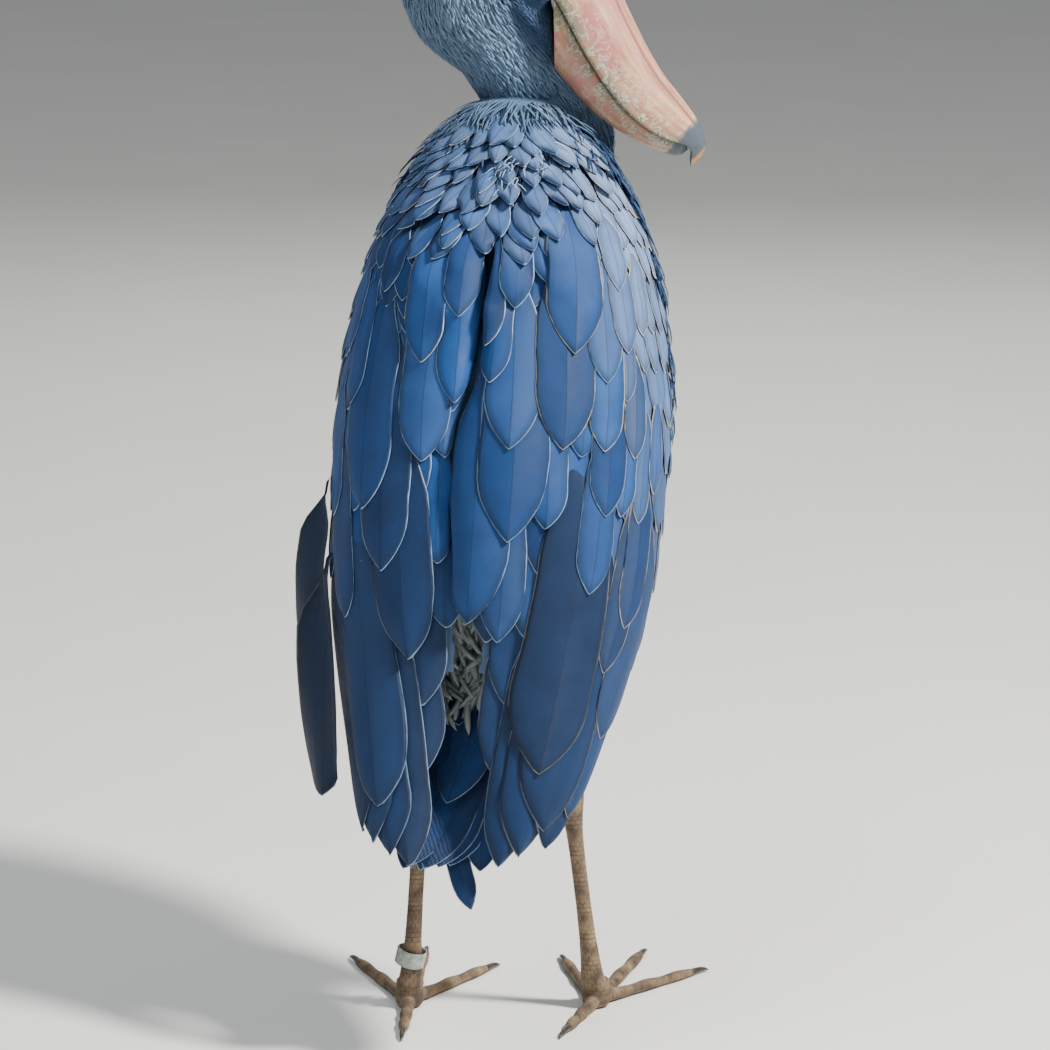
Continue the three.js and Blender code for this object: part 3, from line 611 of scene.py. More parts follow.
# %% The tree
def feather_tree():
    tree = bpy.data.node_groups.new("Lay feathers", "GeometryNodeTree")
    sockets = {
        "Form": "NodeSocketGeometry",
        "Feather": "NodeSocketObject",
        "Spacing": "NodeSocketFloat",
        "Tilt": "NodeSocketFloat",
        "Splay": "NodeSocketFloat",
        "Smallest": "NodeSocketFloat",
        "Largest": "NodeSocketFloat",
        "Patch": "NodeSocketFloat",
        "Seed": "NodeSocketInt",
        "Material": "NodeSocketMaterial",
    }
    for name, kind in sockets.items():
        tree.interface.new_socket(name=name, in_out="INPUT", socket_type=kind)
    tree.interface.new_socket(name="Coat", in_out="OUTPUT", socket_type="NodeSocketGeometry")
    given = add_node(tree, "NodeGroupInput").outputs
    vector, number = {"data_type": "FLOAT_VECTOR"}, {"data_type": "FLOAT"}
    grows = add_node(tree, "GeometryNodeInputNamedAttribute", number, Name="grows").outputs["Attribute"]
    lie = add_node(tree, "GeometryNodeInputNamedAttribute", vector, Name="lie").outputs["Attribute"]
    size = add_node(tree, "GeometryNodeInputNamedAttribute", number, Name="size").outputs["Attribute"]
    chart = add_node(tree, "GeometryNodeInputNamedAttribute", vector, Name="Chart").outputs["Attribute"]
    square = add_node(tree, "ShaderNodeMath", {"operation": "POWER"}, _0=given["Spacing"], _1=-2.0)
    crowd = add_node(tree, "ShaderNodeMath", MULTIPLY, _0=square, _1=3.0)
    roots = add_node(
        tree,
        "GeometryNodeDistributePointsOnFaces",
        {"distribute_method": "POISSON"},
        Mesh=given["Form"],
        Distance_Min=given["Spacing"],
        Density_Max=crowd,
        Density_Factor=grows,
        Seed=given["Seed"],
    )
    own = add_node(tree, "FunctionNodeRandomValue", number, Seed=given["Seed"])
    kept = add_node(
        tree, "GeometryNodeStoreNamedAttribute", {"data_type": "FLOAT", "domain": "POINT"},
        Geometry=roots.outputs["Points"], Name="own",
    )
    tree.links.new(own.outputs[1], kept.inputs["Value"])
    placed = add_node(
        tree, "GeometryNodeStoreNamedAttribute", {"data_type": "FLOAT_VECTOR", "domain": "POINT"},
        Geometry=kept.outputs["Geometry"], Name="root_place", Value=chart,
    )
    facing = add_node(
        tree, "FunctionNodeAxesToRotation", {"primary_axis": "Z", "secondary_axis": "Y"},
        Primary_Axis=roots.outputs["Normal"], Secondary_Axis=lie,
    )
    splay_low = add_node(tree, "ShaderNodeMath", MULTIPLY, _0=given["Splay"], _1=-1.0)
    turned = add_node(tree, "FunctionNodeRandomValue", number, Seed=given["Seed"], ID=1)
    tree.links.new(splay_low.outputs[0], turned.inputs[2])
    tree.links.new(given["Splay"], turned.inputs[3])
    half_tilt = add_node(tree, "ShaderNodeMath", MULTIPLY, _0=given["Tilt"], _1=0.4)
    tilted = add_node(tree, "FunctionNodeRandomValue", number)
    tree.links.new(half_tilt.outputs[0], tilted.inputs[2])
    tree.links.new(given["Tilt"], tilted.inputs[3])
    seed_after = add_node(tree, "ShaderNodeMath", {"operation": "ADD"}, _0=given["Seed"], _1=7.0)
    feed(tree, tilted, Seed=seed_after)
    twist = add_node(tree, "ShaderNodeCombineXYZ", X=tilted.outputs[1], Z=turned.outputs[1])
    lean = add_node(tree, "FunctionNodeEulerToRotation", Euler=twist)
    pose = add_node(
        tree, "FunctionNodeRotateRotation", {"rotation_space": "LOCAL"},
        Rotation=facing, Rotate_By=lean,
    )
    grown = add_node(tree, "FunctionNodeRandomValue", number)
    seed_last = add_node(tree, "ShaderNodeMath", {"operation": "ADD"}, _0=given["Seed"], _1=13.0)
    feed(tree, grown, Seed=seed_last)
    tree.links.new(given["Smallest"], grown.inputs[2])
    tree.links.new(given["Largest"], grown.inputs[3])
    scale = add_node(tree, "ShaderNodeMath", MULTIPLY, _0=size, _1=grown.outputs[1])
    shape = add_node(tree, "GeometryNodeObjectInfo", Object=given["Feather"]).outputs["Geometry"]
    coat = add_node(
        tree, "GeometryNodeInstanceOnPoints",
        Points=placed.outputs["Geometry"], Instance=shape, Rotation=pose, Scale=scale,
    )
    real = add_node(tree, "GeometryNodeRealizeInstances", Geometry=coat.outputs["Instances"])
    patch_of = add_node(tree, "GeometryNodeInputNamedAttribute", vector, Name="Blade").outputs["Attribute"]
    root_of = add_node(
        tree, "GeometryNodeInputNamedAttribute", vector, Name="root_place"
    ).outputs["Attribute"]
    spread = add_node(tree, "ShaderNodeVectorMath", {"operation": "SCALE"}, _0=patch_of, Scale=given["Patch"])
    baked_at = add_node(tree, "ShaderNodeVectorMath", {"operation": "ADD"}, _0=root_of, _1=spread)
    mapped = add_node(
        tree, "GeometryNodeStoreNamedAttribute", {"data_type": "FLOAT2", "domain": "CORNER"},
        Geometry=real.outputs["Geometry"], Name="OFBake", Value=baked_at,
    )
    dressed = add_node(
        tree, "GeometryNodeSetMaterial", Geometry=mapped.outputs["Geometry"], Material=given["Material"]
    )
    add_node(tree, "NodeGroupOutput", Coat=dressed.outputs["Geometry"])
    return tree


lay_tree = feather_tree()
print("The tree has", len(lay_tree.nodes), "nodes")

# %% [markdown]
# ## The small feathers themselves
# Each is a thin closed blade of three sides that bends a little off the body and back to it. It is
# modelled once, lying along +Y with +Z away from the skin, and has only a few faces, because it is
# repeated thousands of times.

# %% Blades
BLADE_HEAD = (8.0, 2.2, 3, 0.35)  # length, width, stations, rise
BLADE_NECK = (17.0, 2.2, 4, 1.2)
BLADE_COLLAR = (34.0, 2.6, 5, 4.0)
BLADE_CREST = (44.0, 7.0, 6, 5.0)
BLADE_WISP = (28.0, 1.3, 5, 6.0)
BLADE_BREAST = (46.0, 9.0, 7, 4.0)
BLADE_THIGH = (22.0, 5.0, 4, 3.0)
feathers_stock = bpy.data.collections.new("stock")


def blade(name, length, width, stations, rise):
    """One closed blade with a raised rib, pointed at its tip, with its own map across and along."""
    share = np.linspace(0, 1, stations + 1)[:-1]
    half = width / 2 * np.sqrt(np.clip(1.35 - np.abs(share - 0.35) * 1.5, 0.15, 1))
    height = rise * np.sin(share * np.pi * 0.9)
    points, marks = [], []
    for t, wide, high in zip(share, half, height):
        rib = 0.12 * width
        points += [(-wide, t * length, high), (wide, t * length, high), (0, t * length, high + rib)]
        marks += [(0, t), (1, t), (0.5, t)]
    points.append((0, length, rise * 0.2))
    marks.append((0.5, 1))
    faces = [[0, 1, 2]]
    for r in range(stations - 1):
        for k in range(3):
            a, b = 3 * r + k, 3 * r + (k + 1) % 3
            faces.append([a, a + 3, b + 3, b])
    last = 3 * (stations - 1)
    faces += [[last + k, 3 * stations, last + (k + 1) % 3] for k in range(3)]
    points = np.array(points)
    faces = facing_out(points, faces)
    mesh = bpy.data.meshes.new(name)
    mesh.from_pydata((points * MM).tolist(), [], faces)
    mesh.shade_smooth()
    add_map(mesh, "Blade", np.array(marks)[corner_vertices(mesh)])
    made = bpy.data.objects.new(name, mesh)
    feathers_stock.objects.link(made)
    return made


# %% [markdown]
# ## Where each coat grows
# A form for each coat carries what the tree reads. Its lie is the direction from one ring to the
# next. Its chart is the ring and the angle, laid flat in a corner of the map. Feathers don't grow
# where one form runs inside another, which a nearest-point search finds.

# %% Forms that carry a coat
PATCH = 0.003  # side of one small feather's patch on the map
surfaces = {
    name: BVHTree.FromObject(form, bpy.context.evaluated_depsgraph_get()) for name, form in forms.items()
}


def covered_by(points, names, margin):
    """True where a point of the frame lies inside one of the named forms, or within a margin of it."""
    found = np.zeros(len(points), bool)
    for name in names:
        for i, point in enumerate(points):
            near, normal, _, away = surfaces[name].find_nearest(Vector(point))
            found[i] |= (Vector(point) - near).dot(normal) < margin * MM and away < 0.2
    return found


def coat_form(name, rings, corner, size, others=(), backwards=False, grows=None, scale=None, margin=1.0):
    """An open form over rings, with the lie, the chart, the length and where feathers grow."""
    rings = rings[::-1] if backwards else rings
    count, sides = rings.shape[:2]
    points = rings.reshape(-1, 3)
    faces = [
        [r * sides + k, r * sides + (k + 1) % sides, (r + 1) * sides + (k + 1) % sides, (r + 1) * sides + k]
        for r in range(count - 1)
        for k in range(sides)
    ]
    middle_of = rings.mean(1, keepdims=True)
    out = (rings - middle_of).reshape(-1, 3)
    ring_run = np.roll(rings, -1, 1) - rings
    forward = np.gradient(rings, axis=0)
    normal = np.cross(ring_run, forward).reshape(-1, 3)
    if (normal * out).sum() < 0:
        faces = [face[::-1] for face in faces]
    form = new_piece(name, points, faces)
    run = forward.reshape(-1, 3)
    add_values(form.data, "lie", run / np.maximum(np.linalg.norm(run, axis=1, keepdims=True), 1e-6))
    add_values(form.data, "pale", paleness(points))
    growing = np.ones(len(points)) if grows is None else grows(points)
    growing = growing * ~covered_by(to_frame(points), others, margin)
    add_values(form.data, "grows", growing)
    add_values(form.data, "size", np.ones(len(points)) if scale is None else scale(points))
    low_u, low_v, wide, high = (*corner, *size)
    marks = []
    for face_index, face in enumerate(faces):
        r, k = divmod(face_index, sides)
        for i in face:
            ring, step = divmod(i, sides)
            step = sides if step == 0 and k == sides - 1 else step
            marks.append((low_u + wide * step / sides, low_v + high * ring / (count - 1)))
    add_map(form.data, "Chart", marks)
    return form


def laid_coat(name, form, feather, spacing, material, seed, tilt=14, splay=12, sizes=(0.8, 1.2)):
    """Runs the tree on a form and keeps its result as one plain mesh."""
    made = bpy.data.objects.new(name, form.data)
    bpy.context.collection.objects.link(made)
    modifier = made.modifiers.new("Lay feathers", "NODES")
    modifier.node_group = lay_tree
    given = {
        "Feather": feather,
        "Spacing": spacing * MM,
        "Tilt": float(np.radians(tilt)),
        "Splay": float(np.radians(splay)),
        "Smallest": sizes[0],
        "Largest": sizes[1],
        "Patch": PATCH,
        "Seed": seed,
        "Material": material,
    }
    for item in lay_tree.interface.items_tree:
        if item.in_out == "INPUT" and item.name in given:
            modifier[item.identifier] = given[item.name]
    mesh = evaluated_mesh(made, name)
    made.modifiers.clear()
    made.data = mesh
    return made


# %% [markdown]
# ## Head, throat and neck
# The head's feathers are short and dense, like fur, and run back from the bill. On the throat they
# end in a slanting edge on the lower bill. The neck's are longer and looser, and hang down its
# length into the collar.

# %% Head and neck coats
head_blade = blade("blade_head", *BLADE_HEAD)
neck_blade = blade("blade_neck", *BLADE_NECK)


def head_size(points):
    """The feathers shorten towards the bill."""
    own = (np.asarray(points) - MOUTH_CORNER) @ head_axes
    return blend(1.25, 0.7, ease(own[..., 0], -90, 0))


head_form = coat_form(
    "coat_head", from_head(head_rings(HEAD, 40, 64, -COAT_HEAD)), (0.52, 0.52), (0.48, 0.48),
    others=["neck", "throat"], backwards=True, scale=head_size, margin=-2.0,
)
throat_form_rings = from_head(head_rings(THROAT, 22, 44, -COAT_HEAD))
edge_run = np.array(THROAT_EDGE[1], float) - THROAT_EDGE[0]
edge_normal = np.array([-edge_run[1], 0, edge_run[0]]) / np.linalg.norm(edge_run)
edge_point = np.array([THROAT_EDGE[0][0], 0, THROAT_EDGE[0][1]])


def behind_edge(points):
    own = (np.asarray(points) - MOUTH_CORNER) @ head_axes
    return ((own - edge_point) @ edge_normal < -2.0).astype(float)


throat_coat_form = coat_form(
    "coat_throat", throat_form_rings, (0.77, 0.3), (0.23, 0.2),
    others=["neck", "head"], backwards=True, grows=behind_edge, scale=head_size, margin=-2.0,
)
neck_form = coat_form(
    "coat_neck", limb_rings(NECK, 40, 56, -COAT_NECK, axis=neck_axis, flat=NECK_FLAT),
    (0.52, 0.0), (0.23, 0.5),
    others=["trunk", "head", "throat"], backwards=True,
)
coat_head = laid_coat("feathers_head", head_form, head_blade, 1.6, soft_plumage, 11, tilt=10, splay=9)
coat_throat = laid_coat(
    "feathers_throat", throat_coat_form, head_blade, 1.6, soft_plumage, 12, tilt=10, splay=9
)
coat_neck = laid_coat("feathers_neck", neck_form, neck_blade, 2.0, soft_plumage, 13, tilt=13, splay=13)
for coat in (coat_head, coat_throat, coat_neck):
    finish_piece(coat, "grey_down")


def on_nape(points):
    """Where the short, ragged crest grows: high on the back of the head."""
    own = (np.asarray(points) - MOUTH_CORNER) @ head_axes
    return ((own[..., 0] < -92) & (own[..., 0] > -128) & (own[..., 2] > 18)).astype(float)


crest_blade = blade("blade_crest", *BLADE_CREST)
crest_form = coat_form(
    "coat_crest", from_head(head_rings(HEAD, 40, 64, -COAT_HEAD)), (0.52, 0.52), (0.48, 0.48),
    backwards=True, grows=on_nape,
)
coat_crest = laid_coat(
    "feathers_crest", crest_form, crest_blade, 7.0, soft_plumage, 14, tilt=9, splay=20, sizes=(0.6, 1.1)
)
finish_piece(coat_crest, "grey_down")

# %% [markdown]
# ## Breast, collar and thighs
# The breast has long soft plumes that lie close, and the thighs short ones. Where the neck enters the
# body stands a collar of long thin plumes, and pale down shows between the mantle's feathers. The same
# tree lays them all: each coat only needs its own form, blade and place to grow.

# %% Breast, belly and thighs
breast_blade = blade("blade_breast", *BLADE_BREAST)
thigh_blade = blade("blade_thigh", *BLADE_THIGH)


def below_wings(points):
    """The front of the body, out to where the wings' edges lie over it."""
    place, around = on_body(points)
    edge = np.radians(blend(60, 92, ease(place, 0.7, 1.6)))
    return ease(np.abs(around), edge, edge + 0.12) * ease(place, 0.2, 0.6)


def on_body(points):
    """The station and the angle round the body of points of the plan."""
    points = np.asarray(points, float).reshape(-1, 3)
    places = np.linspace(-0.5, 9.5, 201)
    centres, runs = middle(places), down_body(places)
    off = np.abs(np.einsum("pk,sk->ps", points, runs) - (centres * runs).sum(1))
    place = places[off.argmin(1)]
    run, away = down_body(place), points - middle(place)
    behind = np.stack([np.zeros(len(run)), -run[:, 2], run[:, 1]], -1)
    back = (away * behind).sum(1)
    depth = np.where(back > 0, along(OUTLINE, 3, place), along(OUTLINE, 4, place))
    return place, np.arctan2(away[:, 0] / along(OUTLINE, 2, place), back / depth)


body_form = coat_form(
    "coat_body", trunk_rings(), (0.0, 0.0), (0.5, 1.0), others=["neck", "thigh_left", "thigh_right"],
    grows=below_wings,
)
coat_body = laid_coat(
    "feathers_breast", body_form, breast_blade, 9.0, soft_plumage, 21, tilt=9, splay=9, sizes=(0.75, 1.15)
)
finish_piece(coat_body, "slate_plumage")

collar_blade = blade("blade_collar", *BLADE_COLLAR)


def round_collar(points):
    """The ring of long thin plumes where the neck enters the body, deeper in front."""
    place, around = on_body(points)
    end = blend(0.95, 1.7, ease(np.abs(around), np.radians(70), np.radians(110)))
    return 1 - ease(place, end - 0.3, end)


def wisps_grow(points):
    """Where pale down shows between the mantle's feathers, right of the middle."""
    place, around = on_body(points)
    low = ((place - 1.3) / 0.24) ** 2 + ((around + np.radians(5)) / np.radians(8)) ** 2
    high = ((place - 1.0) / 0.24) ** 2 + ((around + np.radians(22)) / np.radians(9)) ** 2
    return (np.minimum(low, high) < 1).astype(float)


collar_form = coat_form(
    "coat_collar", trunk_rings(), (0.0, 0.0), (0.5, 1.0), others=["neck"], grows=round_collar
)
coat_collar = laid_coat(
    "feathers_collar", collar_form, collar_blade, 3.4, soft_plumage, 22, tilt=15, splay=34, sizes=(0.6, 1.2)
)
finish_piece(coat_collar, "slate_plumage")
wisp_blade = blade("blade_wisp", *BLADE_WISP)
wisp_form = coat_form("coat_wisp", trunk_rings(), (0.0, 0.0), (0.5, 1.0), grows=wisps_grow)
pale_wisps = plumage_material("pale downy wisps", "#90a8c6", "#e8eff6", 0.2)
coat_wisps = laid_coat(
    "feathers_wisps", wisp_form, wisp_blade, 3.4, pale_wisps, 23, tilt=44, splay=60, sizes=(0.6, 1.3)
)
finish_piece(coat_wisps, "slate_plumage")
for i, (word, leg) in enumerate(LEGS.items()):
    form = coat_form(
        "coat_thigh_" + word, limb_rings(thigh_stations(leg), 24, 40, -COAT_THIGH, level=True),
        (0.77 + 0.12 * i, 0.0), (0.11, 0.28), others=["trunk"],
    )
    coat = laid_coat("feathers_thigh_" + word, form, thigh_blade, 5.0, soft_plumage, 31 + i, tilt=14)
    finish_piece(coat, "grey_down")

# %% [markdown]
# ## Large feathers, laid one over another
# A large feather is a vane: a shaft with a web on each side, broadest past its middle, with a blunt
# point. On the bird each rests on those below it. So the vanes are laid in order, the hindmost root
# first, on a height map of the body: each reads the heights under it, spreads them as a stiff web
# would, settles just above them, and adds its own thickness to the map. Geometry Nodes can scatter
# feathers, but can't let one rest on another, so this step is plain mesh code.

# %% Shape of a vane
STATIONS, ACROSS = 20, 9
draw = np.random.default_rng(20240611)
along_vane = 1 - (1 - np.linspace(0, 1, STATIONS + 1)[:-1]) ** 1.45
across_vane = np.sin(np.linspace(-1, 1, ACROSS) * np.pi / 2 * 0.94) / np.sin(np.pi / 2 * 0.94)
THICKNESS = 0.4


def web_share(t, blunt, taper):
    """The share of the half width along a vane, whose tip tapers over a share of its length."""
    root = blend(0.3, 1, ease(t, 0, 0.34))
    tip = np.clip((t - 1 + taper) / taper, 0, 1)
    return root * (1 - tip**2.2) ** (1 / blunt) * (0.9 + 0.1 * ease(t, 0.1, 0.7))


def taper_of(width, length):
    """A tip is about as long as the vane is wide."""
    return np.clip(1.05 * width / length, 0.25, 0.6)


class Vanes:
    """A list of vanes on the body. Each has its tip's station and angle, and sizes in mm."""

    def __init__(self):
        self.rows = []

    def add(
        self, station, angle, length, width, turn=0.0, sway=0.0, rise=3.0, blunt=1.6, order=0.0,
        hang=0.0, twist=0.0, dome=0.09, **looks,
    ):
        self.rows.append(
            dict(
                station=station, angle=np.radians(angle), length=length, width=width, turn=np.radians(turn),
                sway=np.radians(sway), rise=rise, blunt=blunt, order=order, hang=hang, twist=twist, dome=dome,
                looks=looks,
            )
        )

    def column(self, name):
        return np.array([row[name] for row in self.rows], float)


def frayed_rim(count):
    """A slight waviness of each edge, different for every vane."""
    waves = draw.uniform(0, 2 * np.pi, (count, 2, 3, 1))
    rates = np.array([9.0, 17.0, 31.0])[None, None, :, None]
    sizes = np.array([0.022, 0.014, 0.01])[None, None, :, None]
    left, right = np.moveaxis((np.sin(along_vane * rates + waves) * sizes).sum(2), 1, 0)
    return 1 + np.where(across_vane < 0, left[..., None], right[..., None]) * np.abs(across_vane)


# The folded wings meet along a winding groove: its station, and its angle in degrees.
GROOVE_AT = ([0.9, 2.2, 3.5, 3.9, 4.3, 5.2, 6.3], [0, -4, 0, 2, 6, 7, 4])
GROOVE_DEPTH, GROOVE_WIDE = 13.0, np.radians(6)


def groove_line(place):
    return np.radians(np.interp(place, *GROOVE_AT))


def parted(places, arounds, tip_place, tip_around):
    """Each vane keeps to its own side of the groove, and folds into it where it would cross it."""
    side = np.where(tip_around > groove_line(tip_place), 1, -1)[:, None, None]
    gap = side * (arounds - groove_line(places))
    edge = np.radians(3)
    folded = np.where(gap < edge, edge * np.exp((np.minimum(gap, edge) - edge) / edge), gap)
    window = ease(places, 1.9, 2.4) * (1 - ease(places, 5.8, 6.6))
    return groove_line(places) + side * blend(gap, folded, window)


def walked(vanes):
    """Lays each vane's web on the outline, back from its tip: stations, angles, mm across and along."""
    place, around = vanes.column("station"), vanes.column("angle")
    length, turn, sway = (vanes.column(name) for name in ("length", "turn", "sway"))
    marks = [*along_vane, 1.0]
    spots = [None] * len(marks)
    reach = 1e-3
    for i in range(len(marks) - 1, -1, -1):
        here = outline(place, around)
        per_place = np.linalg.norm(outline(place + reach, around) - here, axis=-1) / reach
        per_angle = np.linalg.norm(outline(place, around + reach) - here, axis=-1) / reach
        way = turn + sway * (1 - marks[i])
        spots[i] = (place, around, per_place, per_angle, way)
        if i:
            step = length * (marks[i] - marks[i - 1])
            place = place - np.cos(way) * step / per_place
            around = around - np.sin(way) * step / per_angle
    place, around, per_place, per_angle, way = (
        np.stack([spot[k] for spot in spots[:-1]], 1)[..., None] for k in range(5)
    )
    width, blunt = vanes.column("width")[:, None], vanes.column("blunt")[:, None]
    half = width / 2 * web_share(along_vane[None, :], blunt, taper_of(width, length[:, None]))
    off = half[..., None] * across_vane
    off = off * frayed_rim(len(off))
    places = place - off * np.sin(way) / per_place
    arounds = parted(places, around + off * np.cos(way) / per_angle, spots[-1][0], spots[-1][1])
    return places, arounds, off, np.array(spots[-1][0]), np.array(spots[-1][1])


# %% [markdown]
# ## What lies under each feather
# The height map is a grid of stations and angles over the back. A vane is stiff, so the heights under
# it are raised to the highest nearby and smoothed, and its web rests on that.

# %% The height map
FINE = 4  # samples of the map for each step between a vane's points
MAP_LOW = (-0.8, np.radians(-135))
MAP_STEP = (0.03, np.radians(0.9))
MAP_SIZE = (390, 300)
AIR = 0.3  # between one vane and the next
TIP_LIFT = 1.2  # how far a tip stands off what it lies on
BEDDED = 1.5  # how far a root sinks under the plumage


def finer(count):
    """Spreads values at a vane's points over finer samples between them."""
    fine = np.linspace(0, count - 1, (count - 1) * FINE + 1)
    low = np.minimum(fine.astype(int), count - 2)
    grid = np.zeros((len(fine), count))
    grid[np.arange(len(fine)), low] = 1 - (fine - low)
    grid[np.arange(len(fine)), low + 1] = fine - low
    return grid


def spread_by(count, width):
    fine = np.arange((count - 1) * FINE + 1)
    grid = np.exp(-(((fine[:, None] - fine[None, :]) / (width * FINE)) ** 2))
    return grid / grid.sum(1, keepdims=True)


finer_along, finer_across = finer(STATIONS), finer(ACROSS).T
spread_along, spread_across = spread_by(STATIONS, 1.2), spread_by(ACROSS, 1.2).T
height_map = np.full(MAP_SIZE, -PLUMAGE - 0.6)


def widened(values, reach):
    """The highest value within a reach, first along, then across."""
    for axis in (0, 1):
        padded = np.pad(values, [(reach, reach) if k == axis else (0, 0) for k in (0, 1)], mode="edge")
        size = values.shape[axis]
        values = np.max([np.take(padded, range(k, k + size), axis) for k in range(2 * reach + 1)], 0)
    return values


def swell(place, around):
    """How far the folded wings rise on each side of the groove between them."""
    window = ease(place, 1.7, 2.6) * (1 - ease(place, 5.6, 7.2))
    side = 1 - ease(np.abs(around), np.radians(38), np.radians(78))
    return GROOVE_DEPTH * window * side * (1 - np.exp(-(((around - groove_line(place)) / GROOVE_WIDE) ** 2)))


def settle(vanes, order):
    """Lays the vanes on the height map in the given order, and returns each one's height at its points."""
    places, arounds, off, tip_place, tip_around = walked(vanes)
    heights = np.zeros(places.shape)
    t = along_vane[:, None]
    for i in order:
        row = vanes.rows[i]
        fine_place = finer_along @ places[i] @ finer_across
        fine_around = finer_along @ arounds[i] @ finer_across
        cell = [
            np.clip(((fine - low) / step).astype(int), 0, size - 1)
            for fine, low, step, size in zip((fine_place, fine_around), MAP_LOW, MAP_STEP, MAP_SIZE)
        ]
        under = height_map[cell[0], cell[1]]
        rest = np.maximum(spread_along @ widened(under, 3) @ spread_across, widened(under, 1)) + AIR
        rest = rest + TIP_LIFT * ease(finer_along @ t, 0.6, 1)
        slant = 2 * off[i] / row["width"]
        own = -PLUMAGE + 0.4 + row["rise"] * t**1.4 + row["hang"] * t
        own = own + row["twist"] * slant * ease(t, 0, 0.35)
        own = own + swell(places[i], arounds[i])
        arch = row["dome"] * row["width"] * (1 - across_vane**2) * ease(t, 0.3, 0.85)
        level = np.maximum(rest[::FINE, ::FINE], own) + arch
        level = blend(-PLUMAGE - BEDDED, level, ease(t, -0.02, 0.1))
        heights[i] = level
        if not row["hang"]:
            np.maximum.at(height_map, tuple(cell), finer_along @ level @ finer_across + THICKNESS)
    return places, arounds, off, tip_place, tip_around, heights


# %% [markdown]
# ## From numbers to closed vanes
# Every vane has the same points: rows across its upper side, the same rows a thickness lower, and a
# tip. So all vanes of a piece are made in one array, with the values that the material reads and a
# map that gives each vane a field of its own.

# %% Building the vanes of one piece
CELL_MARGIN = 0.06  # free border of each vane's field on the map
TIP_RIM = 0.7  # the worn line is broader at the tip, so its distance counts for less
STACK_BACK, STACK_FLANK = 34.0, 11.0  # how high a pressed stack of vanes can rise


def vane_faces():
    """Faces of one vane: its points are the upper rows, the inner under rows, and the tip."""
    inner = ACROSS - 2
    tip = STATIONS * (ACROSS + inner)

    def upper(r, c):
        return r * ACROSS + c

    def below(r, c):
        return upper(r, c) if c in (0, ACROSS - 1) else STATIONS * ACROSS + r * inner + c - 1

    faces = []
    for r in range(STATIONS - 1):
        for c in range(ACROSS - 1):
            faces.append([upper(r, c), upper(r, c + 1), upper(r + 1, c + 1), upper(r + 1, c)])
            faces.append([below(r, c), below(r + 1, c), below(r + 1, c + 1), below(r, c + 1)])
    for c in range(ACROSS - 1):
        faces.append([upper(STATIONS - 1, c), upper(STATIONS - 1, c + 1), tip])
        faces.append([below(STATIONS - 1, c + 1), below(STATIONS - 1, c), tip])
        faces.append([upper(0, c + 1), upper(0, c), below(0, c), below(0, c + 1)])
    return [list(dict.fromkeys(face)) for face in faces if len(set(face)) > 2]


VANE_FACES = vane_faces()


def vane_piece(name, tops, tips, off, lengths, looks, material, under):
    """One mesh of many vanes, from each one's upper points, tip, width, length and looks."""
    count = len(tops)
    inner = slice(1, ACROSS - 1)
    points = np.concatenate(
        [tops.reshape(count, -1, 3), (tops - under)[:, :, inner].reshape(count, -1, 3), tips[:, None]], 1
    )
    rows = len(points[0])
    faces = [[i * rows + k for k in face] for i in range(count) for face in VANE_FACES]
    made = new_piece(name, points.reshape(-1, 3), faces, material)
    t = np.broadcast_to(along_vane[None, :, None], off.shape)
    run = t * lengths[:, None, None]
    half = np.abs(off).max(2, keepdims=True)
    to_side = half - np.abs(off)
    to_tip = (1 - t) * lengths[:, None, None] * TIP_RIM
    rim = np.minimum(to_side, to_tip)

    def at_points(values, end):
        """Values at the upper points, at the inner under ones, and at the tip."""
        values = [values.reshape(count, -1), values[:, :, inner].reshape(count, -1), end[:, None]]
        return np.concatenate(values, 1).ravel()

    nothing = np.zeros(count)
    add_values(made.data, "rim", at_points(rim, nothing))
    across_mm, along_mm = at_points(off, nothing), at_points(run, lengths)
    corners = corner_vertices(made.data)
    add_map(made.data, "Web", np.stack([across_mm, along_mm], 1)[corners])
    grid = int(np.ceil(np.sqrt(count)))
    cell = np.repeat(np.arange(count), rows)
    u = 0.5 + across_mm / (2.05 * np.repeat(half.max((1, 2)), rows))
    v = along_mm / np.repeat(lengths, rows)
    inside = 1 - 2 * CELL_MARGIN
    fields = [cell % grid + CELL_MARGIN + inside * u, cell // grid + CELL_MARGIN + inside * v]
    add_map(made.data, "OFBake", (np.stack(fields, 1) / grid)[corners])
    for key in ("tone", "dusk", "bloom", "worn", "ripple"):
        add_values(made.data, key, np.repeat([look.get(key, 0.0) for look in looks], rows))
    return made


def pressed(heights, places, arounds):
    """Thick stacks of vanes are pressed flat, most on the flanks. Their order stays as it is."""
    flank = ease(np.abs(arounds), np.radians(35), np.radians(70)) * ease(places, 1.6, 2.8)
    room = blend(STACK_BACK, STACK_FLANK, flank)
    above = np.maximum(heights + PLUMAGE, 0)
    return np.where(heights > -PLUMAGE, room * (1 - np.exp(-above / room)) - PLUMAGE, heights)


def body_vanes(vanes, order):
    """Settles a list of vanes on the body, and returns all that vane_piece needs."""
    places, arounds, off, tip_place, tip_around, heights = settle(vanes, order)
    loose = vanes.column("hang")[:, None, None] > 0
    heights = np.where(loose, heights, pressed(heights, places, arounds))
    tops = outline(places, arounds, heights + THICKNESS)
    under = tops - outline(places, arounds, heights)
    tips = outline(tip_place, tip_around, heights[:, -1, ACROSS // 2])
    looks = [row["looks"] for row in vanes.rows]
    return tops, tips, off, vanes.column("length"), looks, under
